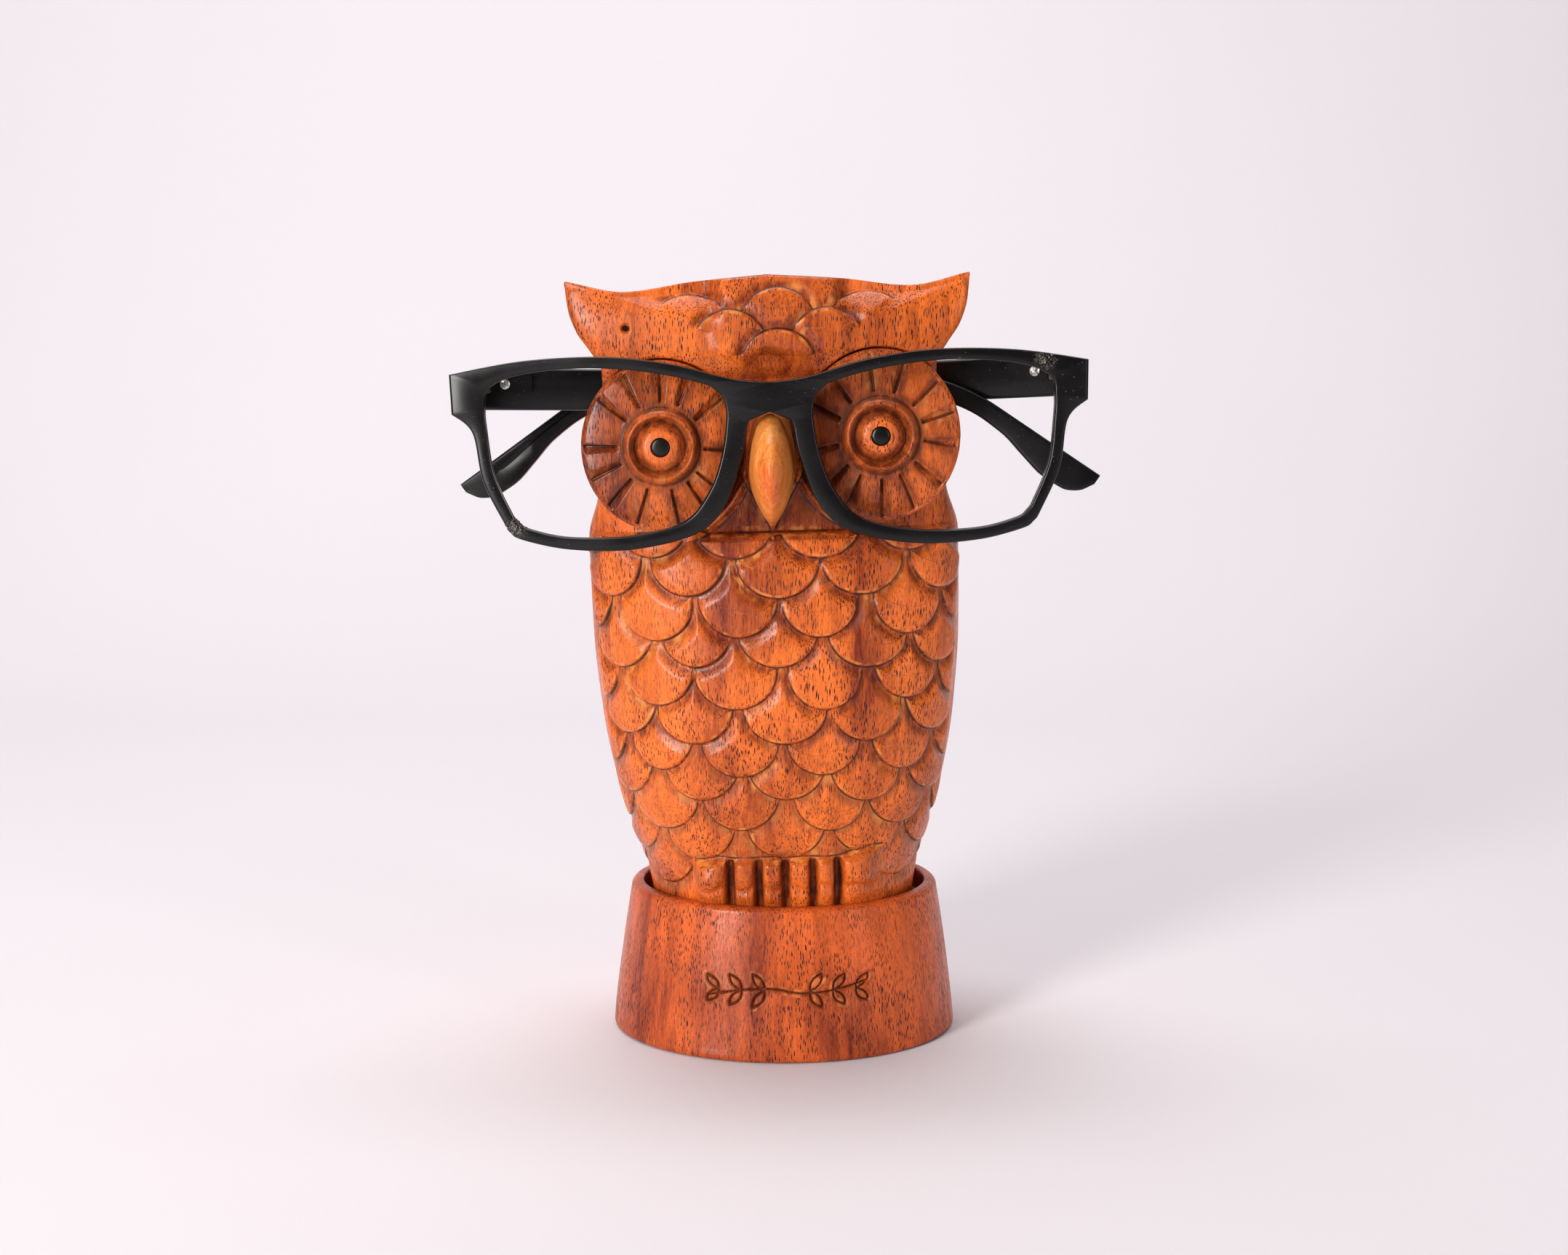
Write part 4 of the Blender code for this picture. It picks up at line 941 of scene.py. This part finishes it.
EDGE_ROUND = 0.55
LENS_GROOVE = (1.3, 1.8, 2.3)
LENS_GROOVE_DEPTH = 0.45
CRACKS = ((-54.6, -29.6), (58.3, 3.6))
GLUE_SWELL = (2.2, 0.16)  # radius and height
STRAIGHT_RUNS = (17, 18)  # rim pairs that a straight outer edge starts from
TEMPLE_LINE = (90.0, 135.5)  # where the line cut into a temple starts and ends


def rim_loops():
    """The rim's outer edge and its lens opening as matched smooth loops, keeping the outer corners."""
    loops = ([], [])
    count = len(RIM_PAIRS)
    for i in range(count):
        for step in range(RIM_STEPS):
            t = step / RIM_STEPS
            for k in (0, 1):
                p = [Vector(RIM_PAIRS[(i + n) % count][k]) for n in (-1, 0, 1, 2)]
                if k == 0 and i in RIM_CORNERS:
                    p[0] = p[1]
                if k == 0 and (i + 1) % count in RIM_CORNERS:
                    p[3] = p[2]
                if k == 0 and i in STRAIGHT_RUNS:
                    loops[k].append(p[1].lerp(p[2], t))
                    continue
                loops[k].append(
                    0.5 * (2 * p[1] + (p[2] - p[0]) * t + (2 * p[0] - 5 * p[1] + 4 * p[2] - p[3]) * t**2
                           + (3 * p[1] - p[0] - 3 * p[2] + p[3]) * t**3)
                )
    return loops


def point_across(inner, outer, x, otherwise):
    width = outer.x - inner.x
    share = (x - inner.x) / width if abs(width) > 1.0 else 0.0
    return inner.lerp(outer, share if 0.15 < share < 0.85 else otherwise)


def wrapped(x):
    return WRAP * (x / RIM_PAIRS[5][0][0]) ** 2 - GLASSES_FRONT


def reach_behind(x, z):
    pad = math.hypot(x - PAD_CENTRE[0], (z - PAD_CENTRE[1]) * 0.8) / PAD_REACH
    pad_share = max(0.0, 1.0 - pad**2) ** 1.5
    lug = LUG_DEPTH if x < LUG_INNER and z > LUG_BOTTOM else 0.0
    return PAD_DEPTH * pad_share + lug


def rim_ring(o, i):
    """One closed section of the front, from the lens opening over the face, round the outside to the back."""
    out = (o - i).normalized()
    outer_round = 0.0 if abs(o.x) < 1e-6 else EDGE_ROUND
    turns = [math.radians(a) for a in (0, 30, 60, 90)]

    def rounded(corner, inward, size, order, behind):
        return [
            (corner + inward * size * (1 - math.cos(a)), size * (1 - math.sin(a)), behind) for a in order
        ]

    ring = rounded(i, out, EDGE_ROUND, turns, False)
    ring += rounded(o, -out, outer_round, turns[::-1], False)
    ring += rounded(o, -out, outer_round, turns, True)
    for across, otherwise in ((-LUG_STEP / 2, 0.4), (LUG_STEP / 2, 0.3)):
        ring.append((point_across(i, o, LUG_INNER + across, otherwise), 0.0, True))
    ring += rounded(i, out, EDGE_ROUND, turns[::-1], True)
    placed = []
    for place, inset, behind in ring:
        depth = RIM_DEPTH + reach_behind(place.x, place.y) - inset if behind else inset
        placed.append((place.x, wrapped(place.x) + depth, BRIDGE_Z + place.y))
    for depth in reversed(LENS_GROOVE):
        place = i + out * (LENS_GROOVE_DEPTH if depth == LENS_GROOVE[1] else 0.0)
        placed.append((place.x, wrapped(place.x) + depth, BRIDGE_Z + place.y))
    return placed


def build_front(black):
    outer, inner = rim_loops()
    bm = bmesh.new()
    rings = [[bm.verts.new(p) for p in rim_ring(o, i)] for o, i in zip(outer, inner)]
    for lower, upper in zip(rings, rings[1:] + rings[:1]):
        for j in range(len(lower)):
            k = (j + 1) % len(lower)
            bm.faces.new((lower[j], lower[k], upper[k], upper[j]))
    bmesh.ops.remove_doubles(bm, verts=bm.verts, dist=1e-4)
    middle = [f for f in bm.faces if all(abs(v.co.x) < 1e-5 for v in f.verts)]
    bmesh.ops.delete(bm, geom=middle, context="FACES")
    copies = bmesh.ops.duplicate(bm, geom=bm.verts[:] + bm.edges[:] + bm.faces[:])["geom"]
    bmesh.ops.scale(bm, vec=(-1, 1, 1), verts=[g for g in copies if isinstance(g, bmesh.types.BMVert)])
    bmesh.ops.reverse_faces(bm, faces=[g for g in copies if isinstance(g, bmesh.types.BMFace)])
    bmesh.ops.remove_doubles(bm, verts=bm.verts, dist=1e-4)
    add_glue(bm)
    bm.transform(Matrix.Scale(MM, 4) @ LEAN)
    mesh = bpy.data.meshes.new("glasses_front_moulded")
    bm.to_mesh(mesh)
    bm.free()
    finish_piece("glasses_front_moulded", mesh, black, "glasses", ["glasses_front"], 38.0)


def add_glue(bm):
    """Swells the rim a little, unevenly, where it was glued after cracking."""
    rng = random.Random(5)
    radius, swell = GLUE_SWELL
    for x, z in CRACKS:
        for v in bm.verts:
            if math.hypot(v.co.x - x, v.co.z - BRIDGE_Z - z) < radius:
                v.co += Vector((rng.uniform(-1, 1), rng.uniform(-0.6, 0.4), rng.uniform(-1, 1))) * swell


def temple_edge(s):
    """Place (back, up) and slope of the temple's top edge at arc length s."""
    bend_start, bend_end = TEMPLE_BEND
    back, up, done = 0.0, 0.0, 0.0
    while True:
        share = min(max((done - bend_start) / (bend_end - bend_start), 0.0), 1.0)
        slope = math.radians(TEMPLE_PITCH_DEG + TEMPLE_DROP_DEG * share)
        if done >= s - 1e-9:
            return back, up, slope
        length = min(0.5, s - done)
        back += length * math.cos(slope)
        up -= length * math.sin(slope)
        done += length


def temple_inset(s):
    """How far a temple has curved in at arc length s."""
    start, depth = TEMPLE_CURVE
    return depth * max((s - start) / (TEMPLE_LENGTH - start), 0.0) ** 2


def folded(points, side):
    """Points of an open temple, turned about its hinge to the folded rest position, on the leaning owl."""
    pivot = Vector((SIDES[side] * PIVOT[0], PIVOT[1], PIVOT[2]))
    turn = (
        Matrix.Translation(pivot)
        @ Matrix.Rotation(SIDES[side] * math.radians(TEMPLE_ANGLE_DEG[side]), 4, "Z")
        @ Matrix.Translation(-pivot)
    )
    matrix = np.array(turn)
    return leaned(np.asarray(points, float) @ matrix[:3, :3].T + matrix[:3, 3])


def build_temple(side, black):
    """A bar that bends down to a broad tip, rounded at its edges; the right temple has a line cut into its
    inner face.
    """
    sign = SIDES[side]
    bar = np.arange(1.5, 133.0, 1.5)
    tip = np.arange(133.4, TEMPLE_LENGTH - 0.2, 0.5)
    rows = []
    for s in np.concatenate([[0.0, 0.25, 0.6], bar, tip, [TEMPLE_LENGTH]]):
        back, up, slope = temple_edge(s)
        middle = -float(along(TEMPLE_HEIGHT, s)) / 2
        end_round = 0.3 * max(0.6 - s, 0.0) / 0.6
        half_height = -middle - end_round
        half_thick = float(along(TEMPLE_HALF_THICK, s)) - end_round
        corner = min(0.75, half_thick * 0.6, half_height * 0.6)
        across, down = half_thick - corner, half_height - corner
        section = []
        for quarter, (cx, cz) in enumerate(((1, 1), (-1, 1), (-1, -1), (1, -1))):
            for a in np.radians([0, 22.5, 45, 67.5, 90]):
                a = a + quarter * math.pi / 2
                section.append((cx * across + corner * math.cos(a), cz * down + corner * math.sin(a)))
            if quarter == 1:
                groove = 0.22 * float(smooth((s - TEMPLE_LINE[0]) / 8.0) * smooth((TEMPLE_LINE[1] - s) / 4.0))
                for share, cut in ((0.34, 0.0), (0.24, groove), (0.14, 0.0)):
                    section.append((-half_thick + (cut if sign > 0 else 0.0), share * half_height))
        rows.append([
            (
                sign * (TEMPLE_X - temple_inset(s) + u),
                TEMPLE_START + back + (v + middle) * math.sin(slope),
                TEMPLE_Z + TEMPLE_TOP + up + (v + middle) * math.cos(slope),
            )
            for u, v in section
        ])
    faces = capped_faces(len(rows), len(rows[0]))
    add_piece(f"temple_{side}_moulded", folded(rows, side), faces, black, f"temple_{side}",
              [f"temple_{side}"], None, 38.0)


def build_screw_head(side, steel):
    """The temple's leaf screw, with a cross-slotted, domed head."""
    head = PIVOT[0] + KNUCKLE_RADIUS + 0.2 - LEAF_THICK - 0.1
    screw_y = PIVOT[1] + sum(TEMPLE_LEAF) / 2 - 1.6
    columns = 72
    turn = full_turn(columns)
    rings = []
    for r in np.linspace(0.03, LEAF_SCREW_HEAD, 22):
        u, v = r * np.cos(turn + 0.35), r * np.sin(turn + 0.35)
        slot = smooth((0.24 - np.minimum(np.abs(u), np.abs(v))) / 0.12) * smooth((0.78 - r) / 0.12)
        dome = 0.5 - 0.32 * (r / LEAF_SCREW_HEAD) ** 2 - 0.34 * slot
        rings.append((r, head - dome))
    for r, deep in ((LEAF_SCREW_HEAD, 0.0), (0.55, 0.0), (0.55, 2.4), (0.2, 2.8)):
        rings.append((r, np.full(columns, head + deep)))
    points = np.array([
        np.stack([SIDES[side] * x, screw_y + r * np.cos(turn), PIVOT[2] + r * np.sin(turn)], -1)
        for r, x in rings
    ])
    faces = capped_faces(len(rings), columns)
    add_piece(f"leaf_screw_{side}_slotted", folded(points, side), faces, steel, f"temple_{side}",
              [f"leaf_screw_{side}"])


# ---- Carried-over CAD nodes, stage, camera ----

STAGE_HALF = 3.0
STAGE_NEAR = -1.6
STAGE_FAR = 0.9
STAGE_SWEEP = 0.5
LIGHTS = [  # name, place, target, size, power, colour
    ("key", (-0.64, -0.86, 0.36), (0.0, 0.0, 0.09), (0.26, 0.7), 11.4, (1.0, 0.975, 0.95)),
    ("fill", (0.8, -0.75, 0.3), (0.0, 0.0, 0.09), (0.2, 0.55), 1.5, (1.0, 0.98, 1.0)),
    ("top", (-0.2, 0.1, 1.2), (0.0, 0.0, 0.0), (0.7, 0.7), 4.4, (1.0, 0.985, 1.0)),
    ("backdrop_light", (0.0, 0.2, 1.5), (0.0, 0.9, 0.4), (1.6, 0.6), 9.1, (1.0, 0.995, 1.0)),
]
SKY = (1.0, 0.975, 0.99, 1.0)
SKY_STRENGTH = 0.15
CAMERA_PLACE = (0.0, -0.536, 0.169)
CAMERA_TILT_DEG = 82.0
CAMERA_LENS = 53.43


def dress_nodes(wood, black, steel):
    """Gives each CAD node that is still shown its own worked-out material."""
    finishes = {
        "dowel": wood, "peg": wood, "temple_leaf": black, "brad": black, "front_leaf": steel, "screw": steel,
        "pin": steel,
    }
    for name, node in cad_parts.items():
        if node.hide_render:
            continue
        finish = next(f for part, f in finishes.items() if part in name)
        node.data.materials.clear()
        node.data.materials.append(finish)


def build_stage():
    """A pale floor that sweeps up behind into a backdrop."""
    bend = STAGE_FAR - STAGE_SWEEP
    profile = [(STAGE_NEAR, 0.0), (bend, 0.0)]
    for a in np.radians(range(5, 91, 5)):
        profile.append((bend + STAGE_SWEEP * math.sin(a), STAGE_SWEEP - STAGE_SWEEP * math.cos(a)))
    profile.append((STAGE_FAR, STAGE_HALF))
    mesh = bpy.data.meshes.new("stage")
    points = [(x, y, z - 0.0002) for y, z in profile for x in (-STAGE_HALF, STAGE_HALF)]
    faces = [(2 * k, 2 * k + 1, 2 * k + 3, 2 * k + 2) for k in range(len(profile) - 1)]
    mesh.from_pydata(points, [], faces)
    mesh.shade_smooth()
    mesh.materials.append(make_stage_material())
    link_object("stage", mesh)


def add_area(name, place, target, size, power, colour):
    light = bpy.data.lights.new(name, "AREA")
    light.shape = "RECTANGLE"
    light.size, light.size_y = size
    light.energy = power
    light.color = colour
    obj = link_object(name, light)
    obj.location = place
    obj.rotation_euler = (Vector(target) - Vector(place)).to_track_quat("-Z", "Y").to_euler()


def build_lights():
    world = bpy.data.worlds.new("soft_white")
    bpy.context.scene.world = world
    world.use_nodes = True
    background = world.node_tree.nodes["Background"]
    background.inputs["Color"].default_value = SKY
    background.inputs["Strength"].default_value = SKY_STRENGTH
    for light in LIGHTS:
        add_area(*light)


def build_camera():
    camera = bpy.data.cameras.new("camera")
    camera.sensor_width = 36.0
    camera.lens = CAMERA_LENS
    obj = link_object("camera", camera)
    obj.location = CAMERA_PLACE
    obj.rotation_euler = (math.radians(CAMERA_TILT_DEG), 0.0, 0.0)
    bpy.context.scene.camera = obj
    bpy.context.scene.view_settings.view_transform = "Standard"


def main():
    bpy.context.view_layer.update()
    cracks = [LEAN @ Vector((x, wrapped(x), BRIDGE_Z + z)) for x, z in CRACKS]
    disc_wood = make_wood("disc_wood")
    black = make_plastic("black_acetate", ACETATE_BLACK, cracks)
    pupil_black = make_plastic("pupil_black", PUPIL_BLACK)
    steel = make_steel("plated_steel")
    build_owl(make_wood("owl_wood"))
    build_plinth(make_wood("plinth_wood"))
    for side in SIDES:
        build_eye(side, disc_wood, pupil_black)
    build_beak(make_wood("beak_wood_grain"))
    build_front(black)
    for side in SIDES:
        build_temple(side, black)
        build_screw_head(side, steel)
    dress_nodes(make_wood("joinery_wood", carved=False), black, steel)
    build_stage()
    build_lights()
    build_camera()


main()
